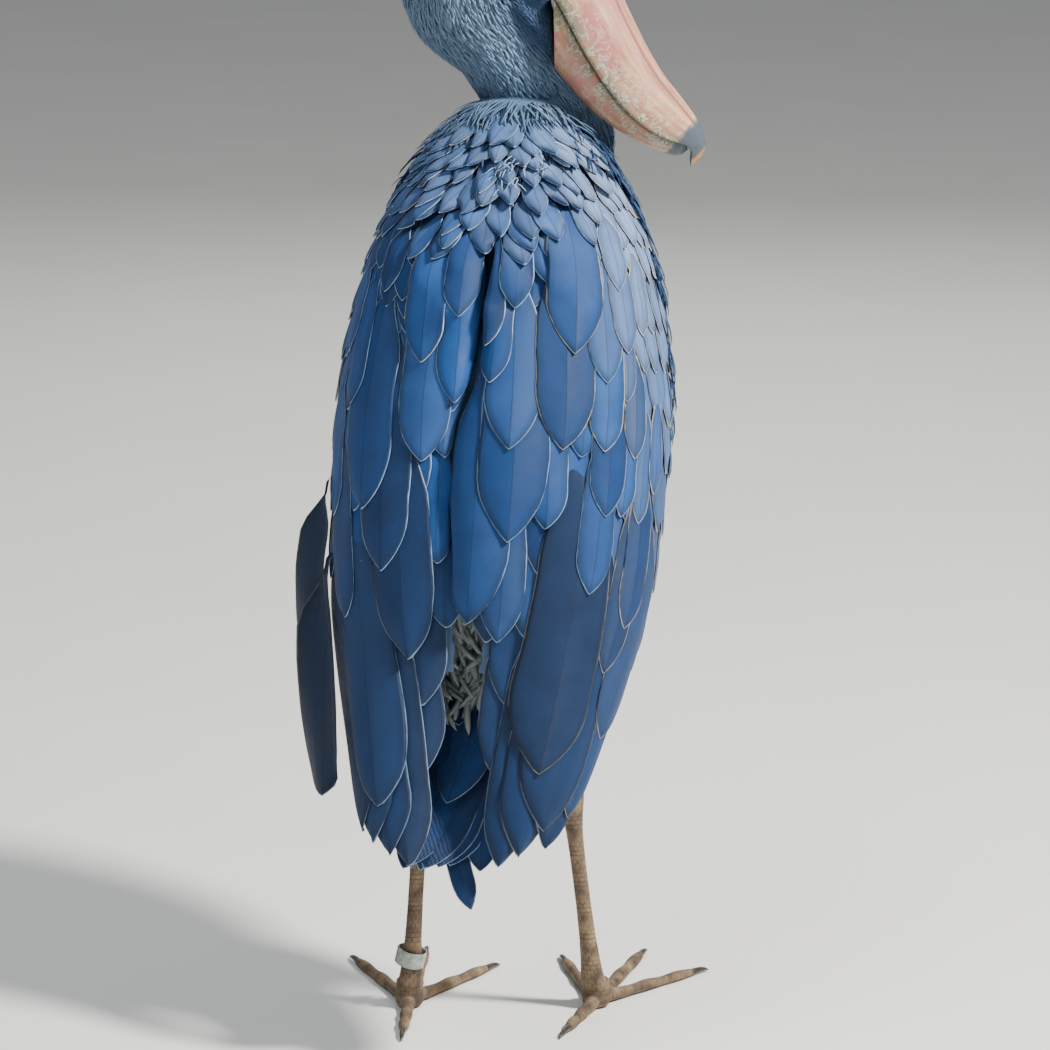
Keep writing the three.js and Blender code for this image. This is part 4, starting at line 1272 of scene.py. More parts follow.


# %% [markdown]
# ## The slate vane
# Each large feather is slate-blue with a thin, pale, worn line along its edge, a dark shaft, and
# barbs that run out slantwise from the shaft. Painted sunlight pales the feathers of the upper back
# and right flank and turns the right flank's edge lines cream, and painted shade darkens the left
# wing's outer feathers. Each web also has painted shade near its edge and a painted highlight in its
# middle, as a dome would be lit. The line and the barbs read the vane's own map in millimetres. Real
# barbs are 0.3 mm apart, too fine to show, so they are drawn 1.8 mm apart.

# %% Slate vane
BARB_SPACING, RIPPLE_SPACING = 1.8, 6.0


def vane_material():
    # Keratin again, but smooth and closely knit: it has a low silky gloss on its flat web.
    material, tree, shader = new_material("slate vane", Specular_IOR_Level=0.28, Sheen_Weight=0.03)
    value = {
        name: add_node(tree, "ShaderNodeAttribute", {"attribute_name": name}).outputs["Fac"]
        for name in ("rim", "tone", "dusk", "bloom", "worn", "ripple")
    }
    web = add_node(tree, "ShaderNodeUVMap", {"uv_map": "Web"}).outputs["UV"]
    parts = add_node(tree, "ShaderNodeSeparateXYZ", Vector=web).outputs
    coordinates = add_node(tree, "ShaderNodeTexCoord").outputs["Object"]
    off_shaft = add_node(tree, "ShaderNodeMath", ABSOLUTE, _0=parts["X"]).outputs[0]
    slanted = add_node(tree, "ShaderNodeMath", MULTIPLY_ADD, _0=off_shaft, _1=-1.1, _2=parts["Y"])
    frayed = add_node(tree, "ShaderNodeTexNoise", Vector=coordinates, Scale=1 / (9 * MM), Detail=2.0)
    barb_at = add_node(tree, "ShaderNodeMath", MULTIPLY_ADD, _0=frayed, _1=3.0, _2=slanted)
    barb_turn = add_node(tree, "ShaderNodeMath", MULTIPLY, _0=barb_at, _1=2 * np.pi / BARB_SPACING)
    barbs = add_node(tree, "ShaderNodeMath", {"operation": "SINE"}, _0=barb_turn).outputs[0]

    blue = add_node(
        tree, "ShaderNodeMix", COLOURS, _0=value["tone"], _6=linear("#0c3160"), _7=linear("#194e90")
    )
    paler = add_node(
        tree, "ShaderNodeMapRange", SMOOTH,
        Value=value["rim"], From_Min=0.0, From_Max=8.0, To_Min=0.2, To_Max=0.0,
    )
    hemmed = add_node(tree, "ShaderNodeMix", COLOURS, _0=paler, _6=blue.outputs[2], _7=linear("#3b70ac"))
    # Painted sunlight: paler on the upper back and the right flank, where the sun falls.
    paled_and_sunlit = add_node(
        tree, "ShaderNodeMix", COLOURS, _0=value["bloom"], _6=hemmed.outputs[2], _7=linear("#7c97bf")
    )
    # Darker towards the wing tips, with painted shade on the left wing's outer feathers.
    darkened_and_shaded = add_node(
        tree, "ShaderNodeMix", COLOURS, _0=value["dusk"], _6=paled_and_sunlit.outputs[2], _7=linear("#0b1e38")
    )
    stain = add_node(tree, "ShaderNodeTexNoise", Vector=coordinates, Scale=1 / (30 * MM), Detail=4.0)
    cloudy = add_node(
        tree, "ShaderNodeMapRange", Value=stain, From_Min=0.3, From_Max=0.7, To_Min=0.86, To_Max=1.12
    )
    # Painted shade and highlight: each web darker near its edge and lighter in its middle, as a dome is lit.
    inner = add_node(
        tree, "ShaderNodeMapRange", SMOOTH,
        Value=value["rim"], From_Min=1.5, From_Max=10.0, To_Min=0.62, To_Max=1.08,
    )
    stained_and_dome_shaded = add_node(tree, "ShaderNodeMath", MULTIPLY, _0=cloudy, _1=inner)
    barred = add_node(tree, "ShaderNodeMath", MULTIPLY_ADD, _0=barbs, _1=0.045, _2=stained_and_dome_shaded)
    coloured = add_node(tree, "ShaderNodeVectorMath", {"operation": "SCALE"}, _0=darkened_and_shaded.outputs[2])
    feed(tree, coloured, Scale=barred)
    shaft = add_node(
        tree, "ShaderNodeMapRange", SMOOTH,
        Value=off_shaft, From_Min=0.3, From_Max=1.1, To_Min=0.4, To_Max=0.0,
    )
    with_shaft = add_node(tree, "ShaderNodeMix", COLOURS, _0=shaft, _6=coloured, _7=linear("#0e1a2a"))
    edge_width = add_node(
        tree, "ShaderNodeMapRange", Value=frayed, From_Min=0.3, From_Max=0.7, To_Min=0.75, To_Max=1.8
    )
    edge = add_node(
        tree, "ShaderNodeMapRange", SMOOTH,
        Value=value["rim"], From_Min=0.5, To_Min=0.9, To_Max=0.0,
    )
    feed(tree, edge, From_Max=edge_width)
    dimmed = add_node(tree, "ShaderNodeMapRange", Value=value["dusk"], To_Min=0.92, To_Max=0.2)
    feed(tree, edge, To_Min=dimmed)
    # The edge line turns cream with random wear, and with painted sunlight on the right flank.
    rim_colour = add_node(
        tree, "ShaderNodeMix", COLOURS, _0=value["worn"], _6=linear("#9bbce4"), _7=linear("#e2d6bc")
    )
    final = add_node(
        tree, "ShaderNodeMix", COLOURS,
        _0=edge, _6=with_shaft.outputs[2], _7=rim_colour.outputs[2],
    )
    rough = add_node(
        tree, "ShaderNodeMapRange", Value=stain, From_Min=0.3, From_Max=0.7, To_Min=0.46, To_Max=0.6
    )
    wave_at = add_node(tree, "ShaderNodeMath", MULTIPLY_ADD, _0=frayed, _1=5.0, _2=slanted)
    wave_turn = add_node(tree, "ShaderNodeMath", MULTIPLY, _0=wave_at, _1=2 * np.pi / RIPPLE_SPACING)
    waves = add_node(tree, "ShaderNodeMath", {"operation": "SINE"}, _0=wave_turn)
    ripples = add_node(tree, "ShaderNodeMath", MULTIPLY, _0=waves, _1=value["ripple"])
    relief = add_node(tree, "ShaderNodeMath", MULTIPLY_ADD, _0=ripples, _1=2.0, _2=barbs)
    bump = add_node(tree, "ShaderNodeBump", Height=relief, Strength=0.5, Distance=0.25 * MM)
    feed(tree, shader, Base_Color=final.outputs[2], Roughness=rough, Normal=bump.outputs["Normal"])
    return material


slate_vane = vane_material()

# %% [markdown]
# ## The plan of the feathers
# The large feathers that give the back its pattern are placed one by one, by the station and angle
# of each tip. Under them lie even tiers of wing coverts and quills, which also cover the flanks.
# Over the shoulders lies the mantle, small round feathers in close rows.

# %% Feathers placed one by one
# Station, angle, width and length of each feather whose tip shows, on each wing.
CHOSEN = {
    LEFT: [
        (2.86, 38, 30, 74), (3.54, 57, 33, 100), (3.64, 18, 46, 150), (4.14, 48, 36, 140), (4.10, 6, 42, 170),
        (3.12, 6, 34, 110), (5.32, 38, 64, 230), (4.78, 16, 56, 190), (5.36, 60, 38, 150), (6.48, 53, 44, 190),
        (6.00, 30, 60, 210), (6.96, 22, 66, 230), (8.68, 42, 70, 300), (9.14, 56, 66, 290), (9.44, 30, 56, 270),
        (8.98, 68, 58, 280), (9.3, 43, 60, 280),
    ],
    RIGHT: [
        (3.00, 12, 32, 96), (3.42, 3, 32, 120), (3.84, 5, 36, 140), (3.46, 32, 56, 160), (3.02, 38, 34, 96),
        (2.72, 52, 30, 84), (3.42, 54, 34, 110), (3.22, 65, 26, 90), (3.76, 44, 38, 130), (4.56, 29, 60, 200),
        (4.54, 44, 38, 150), (3.96, 53, 28, 96), (4.58, 58, 32, 110), (4.60, 12, 54, 180), (5.62, 13, 68, 230),
        (5.44, 25, 40, 150), (5.24, 46, 40, 150), (5.22, 54, 30, 124), (5.26, 64, 28, 120), (4.92, 74, 26, 100),
        (6.54, 1, 70, 250), (6.36, 2, 60, 230), (6.72, 12, 46, 180), (6.10, 43, 38, 170), (6.90, 60, 38, 190),
        (8.18, 37, 80, 330), (8.84, 48, 72, 320), (6.38, 66, 38, 170), (9.04, 58, 60, 290), (9.2, 38, 62, 290),
        (9.36, 27, 54, 270), (8.6, 70, 52, 260), (7.6, 76, 50, 230),
    ],
}
# Even tiers: station of the tips, first and last angle, how many, length, width.
TIERS = [
    (2.5, 6, 40, 4, 66, 34), (2.95, 6, 26, 3, 76, 36), (3.3, 6, 26, 3, 84, 36), (1.75, 60, 112, 8, 50, 30),
    (2.15, 54, 112, 8, 54, 31), (2.6, 44, 112, 9, 62, 33), (3.1, 26, 112, 10, 70, 35), (3.6, 10, 111, 11, 80, 38),
    (4.15, 6, 111, 10, 94, 42), (4.7, 6, 110, 9, 104, 46), (5.3, 6, 110, 9, 112, 48), (5.95, 6, 108, 8, 122, 50),
    (6.65, 8, 106, 7, 136, 54), (7.4, 14, 98, 6, 150, 56), (8.2, 20, 86, 5, 165, 60),
]
MANTLE_ROWS = 8


def jitter(amount):
    return amount * draw.uniform(-1, 1)


def looks_at(station, side, angle):
    """How a feather looks by its place: paler in painted sunlight on the upper back and right flank,
    darker towards the tips, with painted shade on the left wing's outer feathers, and edge lines with
    random wear that painted sunlight turns cream on the right flank.
    """
    # Painted sunlight: paler on the right flank and the upper back, more on the right side.
    sunny = ease(-side * angle, 25, 75) * ease(-station, -6.0, -2.5)
    upper = ease(-station, -3.0, -1.2) * (0.5 if side == RIGHT else 0.3)
    low = ease(station, 5.6, 8.4)
    outer = ease(angle, 60, 105) * ease(station, 3.5, 6.0)
    return {
        "tone": float(np.clip(0.5 + jitter(0.5), 0, 1)),
        "bloom": float(np.clip(0.7 * sunny + upper + jitter(0.08), 0, 0.9)),
        # Darker towards the wing tips, and painted shade on the left wing's outer feathers.
        "dusk": float(np.clip(0.7 * low + 0.35 * outer * (side == LEFT) + jitter(0.1), 0, 0.9)),
        # Random wear, and painted sunlight that turns the right flank's edge lines cream.
        "worn": float(max(draw.uniform(0, 1) ** 7, 0.9 * ease(angle, 42, 62) * (side == RIGHT))),
    }


def wing_vanes(side):
    vanes = Vanes()
    for station, angle, width, length in CHOSEN[side]:
        vanes.add(
            station, side * angle, length, width, side * (-2 + jitter(1.5)), side * 5,
            blunt=1.08 + jitter(0.08),
            rise=3 + jitter(1), dome=0.1 + jitter(0.03), **looks_at(station, side, angle),
        )
    for row, (station, first, last, count, length, width) in enumerate(TIERS):
        for angle in np.linspace(first, last, count):
            angle = angle + (row % 2) * (last - first) / count * 0.4 + jitter(1.5)
            place = station + jitter(0.08)
            vanes.add(
                place, side * angle, length * (1 + jitter(0.06)), width * (1 + jitter(0.06)),
                side * (-3 + jitter(2.5)), side * 6, blunt=1.12 + jitter(0.1), rise=2.5 + jitter(1),
                dome=0.07 + jitter(0.02), order=0.9, **looks_at(place, side, angle),
            )
    return vanes


# %% [markdown]
# ## The mantle
# The small feathers over the shoulders stand in ruffled rows, domed like spoons, and part along the
# groove. Rows and seeded draws place them, since no two of them sit alike.

# %% The mantle
# How far the small feathers turn aside, by their angle round the body: they part along the groove.
MANTLE_TURN = ([-80, -50, -25, -3, 3, 25, 50, 80], [-18, -16, -14, -8, 8, 14, 20, 20])


def mantle_vanes():
    vanes = Vanes()
    for row in range(MANTLE_ROWS):
        place = blend(0.95, 2.95, row / (MANTLE_ROWS - 1))
        reach = float(np.interp(place, [0.9, 1.4, 2.0, 2.6, 3.2], [74, 66, 46, 24, 3]))
        spacing = float(np.interp(place, [0.9, 1.6, 3.2], [12.0, 10.5, 9.5]))
        count = max(1, int(round(2 * reach / spacing)) + row % 2)
        for angle in np.linspace(-reach, reach, count) if count > 1 else [1.0]:
            side = LEFT if angle > 0 else RIGHT
            stretch = 1 + 0.5 * ease(abs(angle), 25, 60)
            vanes.add(
                place + jitter(0.12), angle + jitter(4.0), blend(44, 58, row / MANTLE_ROWS) * stretch,
                blend(27, 31, row / MANTLE_ROWS) / stretch**0.5 + jitter(4),
                np.interp(angle, *MANTLE_TURN) + jitter(12),
                jitter(8), rise=blend(14, 5, ease(abs(angle), 30, 60)) + jitter(5), blunt=1.25 + jitter(0.15),
                dome=blend(0.36, 0.12, ease(abs(angle), 30, 60)) + jitter(0.05),
                **looks_at(place, side, abs(angle)),
            )
    return vanes


# %% [markdown]
# ## Laying the back
# The mantle and both wings are settled in one order, so that a feather of one piece can rest on those
# of another. Two quills of the left wing hang free and leave the map as it is.

# %% Laying the back and wings
STATION_RUN = 88.0  # mm from one station of the outline to the next
# The two outermost quills of the left wing hang loose, away from the body and darker than the rest.
LOOSE_QUILLS = [
    {"station": 6.88, "angle": 88, "length": 200, "width": 46, "turn": 6, "hang": 31.5, "twist": 26},
    {"station": 8.5, "angle": 90, "length": 262, "width": 40, "turn": 3, "hang": 37, "twist": 33.5},
]

pieces_plan = {"left": wing_vanes(LEFT), "right": wing_vanes(RIGHT)}
for quill in LOOSE_QUILLS:
    pieces_plan["left"].add(
        **quill, sway=10, blunt=1.3, order=-1.2, dome=0.03, tone=0.1, dusk=0.9, worn=0.2
    )

whole = Vanes()
owners = []
for owner, vanes in {**pieces_plan, "mantle": mantle_vanes()}.items():
    whole.rows += vanes.rows
    owners += [owner] * len(vanes.rows)
owners = np.array(owners)
# A vane whose root lies further down is laid sooner, and the even tiers before those placed one by one.
roots = whole.column("station") - whole.column("length") / STATION_RUN + whole.column("order")
tops, tips, off, lengths, looks, under = body_vanes(whole, np.argsort(-roots))
names = {"left": "feathers_wing_left", "right": "feathers_wing_right", "mantle": "feathers_mantle"}
for owner, name in names.items():
    mine = owners == owner
    piece = vane_piece(
        name, tops[mine], tips[mine], off[mine], lengths[mine],
        [look for look, own in zip(looks, mine) if own], slate_vane, under[mine],
    )
    finish_piece(piece, "slate_plumage")
print(
    "The back has", len(whole.rows), "feathers, the highest", round(float(height_map.max()), 1),
    "mm off the outline"
)

# %% [markdown]
# ## Tail and rump
# The tail's quills lie in a fan over their own coverts, which are softer, broad and finely rippled
# across. They hang between the wing tips, a little out of order, and one middle feather has slipped
# down past the rest. Above them the rump is covered in loose grey down.

# %% The tail
TAIL_THICKNESS = 1.4 * THICKNESS
# Each tail feather, the lowest first: its root and its tip aside and down the body, its height over
# the lowest one, width, and bend to one side.
TAIL_QUILLS = [
    (-25, 43, -41, 171, 0, 34, 0), (-16, 39, -22, 178, 1, 40, 0), (32, 88, -6, 219, 1, 25, 6),
    (-28, 23, -3, 176, 3, 44, -6), (-23, 16, 8, 179, 5, 46, -6), (-16, 10, 17, 182, 7, 50, -8),
    (47, 28, 57, 174, 3, 30, 0), (43, 23, 47, 180, 5, 28, 0), (39, 13, 37, 183, 7, 26, 0),
    (-1, -4, 27, 185, 9, 52, -14), (-11, -30, 1, 115, 13, 58, -8), (38, -11, 19, 102, 12, 40, 4),
    (24, -52, 13, 35, 15, 44, 0),
]


def flat_vanes(origins, forwards, outs, lengths, widths, blunt, aside, drop=2.0, dome=0.12):
    """Straight vanes from their roots: each has its own plane, and bends aside and down to its tip."""
    forwards = forwards / np.linalg.norm(forwards, axis=1, keepdims=True)
    sides = np.cross(outs, forwards)
    sides /= np.linalg.norm(sides, axis=1, keepdims=True)
    normals = np.cross(forwards, sides)
    taper = taper_of(widths, lengths)[:, None]
    half = widths[:, None] / 2 * web_share(along_vane[None, :], blunt, taper)
    off = half[..., None] * across_vane * frayed_rim(len(origins))
    run = (along_vane[None, :] * lengths[:, None])[..., None, None]
    bend = (drop * along_vane**2)[None, :, None] - dome * np.abs(off) ** 2 / widths[:, None, None] * 2
    shifted = off + (aside[:, None] * along_vane[None, :] ** 2)[..., None]
    tops = (
        origins[:, None, None] + forwards[:, None, None] * run + sides[:, None, None] * shifted[..., None]
        + normals[:, None, None] * bend[..., None]
    )
    tips = origins + forwards * lengths[:, None] + sides * aside[:, None] + normals * drop
    return tops, tips, off, normals[:, None, None] * TAIL_THICKNESS * np.ones((1, STATIONS, ACROSS, 1))


def tail_piece():
    root_aside, root_down, tip_aside, tip_down, height, width, bend = np.array(TAIL_QUILLS, float).T
    at, run = middle(TRUNK_END), down_body(TRUNK_END + 0.02)
    aside, behind = np.array([1.0, 0, 0]), np.array([0, -run[2], run[1]])

    def place(off, down, up):
        return at + run * down[:, None] + aside * off[:, None] + behind * up[:, None]

    origins, ends = place(root_aside, root_down, height - 3), place(tip_aside - bend, tip_down, height)
    length = np.linalg.norm(ends - origins, axis=1)
    tops, tips, off, under = flat_vanes(
        origins, ends - origins, np.tile(behind, (len(bend), 1)), length, width, 1.15, bend
    )
    looks = [
        {"tone": 0.4 + jitter(0.4), "dusk": 0.4 + jitter(0.12), "worn": 0.1, "ripple": 0.6} for _ in bend
    ]
    return vane_piece("feathers_tail", tops, tips, off, length, looks, slate_vane, under)


finish_piece(tail_piece(), "slate_plumage")

# %% [markdown]
# ## The rump's down
# Loose grey down fills the gap between the wings above the tail. It is a coat like the soft ones, with
# longer and much splayed blades, on the back of the trunk only.

# %% The rump
RUMP_DOWN = (36.0, 5.5, 6, 4.0)


def rump_rings(count=30, sides=40):
    """The back of the trunk above the tail."""
    place = np.linspace(5.75, TRUNK_END - 0.02, count)[:, None]
    around = np.linspace(-np.pi, np.pi, sides, endpoint=False)[None, :]
    share = along(TRUNK_SHARE, 0, np.minimum(place, len(TRUNK_SHARE) - 1))
    return outline(place, around, -PLUMAGE - 1.0, share)


def on_rump(points):
    """Where the down grows: on the back, from under the wings to the tail."""
    return (np.asarray(points)[:, 1] > rump_line(np.asarray(points)[:, 2])).astype(float)


def rump_line(height):
    places = np.linspace(4.5, 8, 80)
    return np.interp(-height, -middle(places)[:, 2], middle(places)[:, 1])


pale_down = plumage_material("pale loose down", "#56626e", "#b7beb9", 0.3)
rump_blade = blade("blade_rump", *RUMP_DOWN)
rump_form = coat_form("coat_rump", rump_rings(), (0.0, 0.0), (0.5, 1.0), grows=on_rump)
coat_rump = laid_coat(
    "feathers_rump", rump_form, rump_blade, 5.5, pale_down, 41, tilt=14, splay=42, sizes=(0.5, 1.4)
)
finish_piece(coat_rump, "grey_down")

# %% [markdown]
# ## The bill
# The bill is two horny shells over bone. The upper one has a ridge along its top, a groove on each
# side of the ridge, a slit of a nostril at its root and a hooked nail at its tip. It overhangs the
# lower one, which leaves the dark line of the mouth. Painted shade darkens that line and each groove.

# %% Bill tables
HEAD_FRONT = 8.3
UPPER_BILL = [
    [HEAD_FRONT, 61, -6, 47], [30, 53, -10.5, 49.5], [57, 43.5, -17.5, 51], [86, 34.5, -23.5, 51],
    [116, 26.5, -27.8, 49], [146, 21, -28.6, 45], [175, 19, -24.5, 39], [198, 16.5, -16, 31],
    [212, 13.2, -9, 22], [221, 9.4, -10, 15], [228, 4, -17, 9], [232.5, -5, -20.5, 4],
]
LOWER_BILL = [
    [HEAD_FRONT, -6, -46, 44.5], [30, -10.5, -52.5, 46.5], [57, -17.5, -55.5, 47], [86, -23.5, -57, 46],
    [116, -27.8, -57, 43], [146, -28.6, -52.5, 39], [175, -24.5, -44, 33], [198, -16, -34, 25],
    [212, -9, -26.5, 16], [217.5, -10.4, -20.5, 8],
]
NOSTRIL = (27.0, 14.0, 8.0, 2.2)  # along the bill, aside, length and width
BILL_RINGS, BILL_SIDES = 150, 120


def bill_rings(table, upper):
    place = np.linspace(0, len(table) - 1, BILL_RINGS)[:, None]
    x, top, under, half = (along(table, column, place) for column in range(4))
    angle = turns(BILL_SIDES)[None, :]
    c, s = np.cos(angle), np.sin(angle)
    if upper:
        ridge = 0.94 + 0.06 * np.exp(-(((angle - np.pi / 2) / 0.13) ** 2))
        groove = 0.045 * np.exp(-(((np.abs(angle - np.pi / 2) - 0.42) / 0.07) ** 2))
        ridge = ridge - groove * ease(x, 20, 50) * (1 - ease(x, 185, 205))
        across = np.sign(c) * np.abs(c) ** np.where(s < 0, 1, 0.75)
        rise = np.where(s < 0, -1, -1 + 2 * ridge * np.abs(s) ** 0.8)
    else:
        across = np.sign(c) * np.abs(c) ** np.where(s > 0, 1, 0.7)
        rise = np.where(s > 0, 1, 1 - 2 * np.abs(s) ** 0.75)
        half = half - 1.2
        top = top - 0.5
    z = (top + under) / 2 + rise * (top - under) / 2
    return np.stack(np.broadcast_arrays(x, across * half, z), -1)


def bill_piece(name, table, upper, material):
    rings = bill_rings(table, upper)
    if upper:
        x, y, long, wide = NOSTRIL
        for side in (LEFT, RIGHT):
            near = ((rings[..., 0] - x) / long) ** 2 + ((rings[..., 1] - side * y) / (wide * 1.2)) ** 2
            sink = 3.5 * np.exp(-near * 1.6) * (rings[..., 2] > 20)
            rings[..., 2] -= sink
    points, faces = loft(rings)
    faces = facing_out(points, faces)
    form = bmesh.new()
    corners = [form.verts.new(point) for point in points]
    for face in faces:
        form.faces.new([corners[i] for i in face])
    if not upper:
        cut = bmesh.ops.bisect_plane(
            form, geom=[*form.verts, *form.edges, *form.faces],
            plane_co=tuple(edge_point + edge_normal * 0.4), plane_no=tuple(edge_normal), clear_inner=True,
        )
        bmesh.ops.holes_fill(form, edges=[i for i in cut["geom_cut"] if isinstance(i, bmesh.types.BMEdge)])
    bmesh.ops.triangulate(form, faces=[face for face in form.faces if len(face.verts) > 4])
    bmesh.ops.recalc_face_normals(form, faces=form.faces)
    form.verts.index_update()
    own = np.array([tuple(vertex.co) for vertex in form.verts])
    faces = [[vertex.index for vertex in face.verts] for face in form.faces]
    form.free()
    made = new_piece(name, from_head(own), faces, material)
    mouth_height = np.interp(own[:, 0], [row[0] for row in UPPER_BILL], [row[2] for row in UPPER_BILL])
    add_values(made.data, "mouth", np.abs(own[:, 2] - mouth_height))
    add_values(made.data, "run", own[:, 0])
    top = np.interp(own[:, 0], [row[0] for row in UPPER_BILL], [row[1] for row in UPPER_BILL])
    add_values(made.data, "crest", own[:, 2] - (mouth_height + 0.875 * (top - mouth_height)))
    angle = np.degrees(np.arctan2(own[:, 2] - mouth_height, own[:, 1]))
    marks = np.stack([own[:, 0], np.abs(angle - 90)], 1)
    add_map(made.data, "Horn", marks[corner_vertices(made.data)])
    return made


def horn_material():
    # Horn grown in thin layers: smooth and slightly translucent, flaking where the layers wear off.
    material, tree, shader = new_material(
        "flaking bill horn", Specular_IOR_Level=0.45, Subsurface_Weight=0.08, Subsurface_Scale=2 * MM
    )
    run, mouth, crest = (
        add_node(tree, "ShaderNodeAttribute", {"attribute_name": name}).outputs["Fac"]
        for name in ("run", "mouth", "crest")
    )
    horn = add_node(tree, "ShaderNodeUVMap", {"uv_map": "Horn"}).outputs["UV"]
    coordinates = add_node(tree, "ShaderNodeTexCoord").outputs["Object"]
    stretched = add_node(tree, "ShaderNodeMapping", Vector=horn, Scale=(1 / 60, 1 / 9, 1))
    streak = add_node(tree, "ShaderNodeTexNoise", Vector=stretched, Scale=1.0, Detail=6.0, Roughness=0.6)
    blotch = add_node(tree, "ShaderNodeTexNoise", Vector=coordinates, Scale=1 / (26 * MM), Detail=4.0)
    flake = add_node(
        tree, "ShaderNodeTexNoise", Vector=coordinates, Scale=1 / (14 * MM), Detail=8.0, Roughness=0.72
    )
    stops = ((0.3, "#7a5238"), (0.4, "#a87f5e"), (0.5, "#b98f72"), (0.6, "#c9a684"), (0.75, "#dfcba8"))
    ramp = add_node(tree, "ShaderNodeValToRGB", stops=stops, Fac=streak)
    pink = add_node(
        tree, "ShaderNodeMapRange", SMOOTH,
        Value=blotch, From_Min=0.4, From_Max=0.6, To_Min=0.05, To_Max=0.9,
    )
    near_root = add_node(
        tree, "ShaderNodeMapRange", Value=run, From_Min=40.0, From_Max=170.0, To_Min=1.0, To_Max=0.3
    )
    blush = add_node(tree, "ShaderNodeMath", MULTIPLY, _0=pink, _1=near_root)
    blushed = add_node(
        tree, "ShaderNodeMix", COLOURS, _0=blush, _6=ramp.outputs["Color"], _7=linear("#bd7074")
    )
    stained_by = add_node(
        tree, "ShaderNodeMapRange", SMOOTH,
        Value=mouth, From_Min=2.0, From_Max=20.0, To_Min=0.95, To_Max=0.0,
    )
    patchy = add_node(
        tree, "ShaderNodeMapRange", Value=flake, From_Min=0.4, From_Max=0.52, To_Min=0.0, To_Max=1.0
    )
    stain = add_node(tree, "ShaderNodeMath", MULTIPLY, _0=stained_by, _1=patchy)
    stained = add_node(tree, "ShaderNodeMix", COLOURS, _0=stain, _6=blushed.outputs[2], _7=linear("#7b7f68"))
    from_line = add_node(tree, "ShaderNodeMath", {"operation": "SUBTRACT"}, _0=flake, _1=0.53)
    off_line = add_node(tree, "ShaderNodeMath", ABSOLUTE, _0=from_line)
    cracked = add_node(
        tree, "ShaderNodeMapRange", SMOOTH,
        Value=off_line, From_Min=0.006, From_Max=0.022, To_Min=1.0, To_Max=0.0,
    )
    near_mouth = add_node(
        tree, "ShaderNodeMapRange", Value=mouth, From_Min=8.0, From_Max=34.0, To_Min=0.85, To_Max=0.12
    )
    crust = add_node(tree, "ShaderNodeMath", MULTIPLY, _0=cracked, _1=near_mouth)
    crusted = add_node(tree, "ShaderNodeMix", COLOURS, _0=crust, _6=stained.outputs[2], _7=linear("#e6dfcf"))
    # Painted shade along the groove on each side of the ridge.
    off_groove = add_node(tree, "ShaderNodeMath", ABSOLUTE, _0=crest).outputs[0]
    groove = add_node(
        tree, "ShaderNodeMapRange", SMOOTH,
        Value=off_groove, From_Min=0.5, From_Max=1.8, To_Min=0.7, To_Max=0.0,
    )
    groove_shaded = add_node(tree, "ShaderNodeMix", COLOURS, _0=groove, _6=crusted.outputs[2], _7=linear("#6e4636"))
    ragged = add_node(tree, "ShaderNodeMath", MULTIPLY_ADD, _0=blotch, _1=16.0, _2=run)
    nail = add_node(tree, "ShaderNodeMapRange", SMOOTH, Value=ragged, From_Min=205.0, From_Max=212.0)
    nailed = add_node(tree, "ShaderNodeMix", COLOURS, _0=nail, _6=groove_shaded.outputs[2], _7=linear("#4a5560"))
    tip = add_node(tree, "ShaderNodeMapRange", SMOOTH, Value=run, From_Min=226.0, From_Max=231.0)
    tipped = add_node(tree, "ShaderNodeMix", COLOURS, _0=tip, _6=nailed.outputs[2], _7=linear("#b98549"))
    # Painted shade: a dark line along the mouth, where the upper bill overhangs the lower.
    painted_mouth_shade = add_node(
        tree, "ShaderNodeMapRange", SMOOTH,
        Value=mouth, From_Min=0.4, From_Max=1.4, To_Min=0.85, To_Max=0.0,
    )
    final = add_node(tree, "ShaderNodeMix", COLOURS, _0=painted_mouth_shade, _6=tipped.outputs[2], _7=linear("#3b332c"))
    rough = add_node(
        tree, "ShaderNodeMapRange", Value=flake, From_Min=0.3, From_Max=0.7, To_Min=0.34, To_Max=0.62
    )
    height = add_node(tree, "ShaderNodeMath", MULTIPLY_ADD, _0=streak, _1=0.5, _2=crust)
    bump = add_node(tree, "ShaderNodeBump", Height=height, Strength=0.5, Distance=0.5 * MM)
    feed(tree, shader, Base_Color=final.outputs[2], Roughness=rough, Normal=bump.outputs["Normal"])
    return material


bill_horn = horn_material()
finish_piece(bill_piece("bill_upper_horn", UPPER_BILL, True, bill_horn), "horn_bill", "bill_upper")
finish_piece(bill_piece("bill_lower_horn", LOWER_BILL, False, bill_horn), "horn_bill", "bill_lower")

# %% [markdown]
# ## Eyes
# A shoebill's eye is large and pale, with a small round pupil. It is a ball with a bulging clear
# front, held by a naked ring of lids.

# %% Eyes and lids
EYE = {"radius": 11.5, "x": -20.0, "y": 37.5, "z": 36.0}
IRIS, PUPIL = 8.0, 3.4


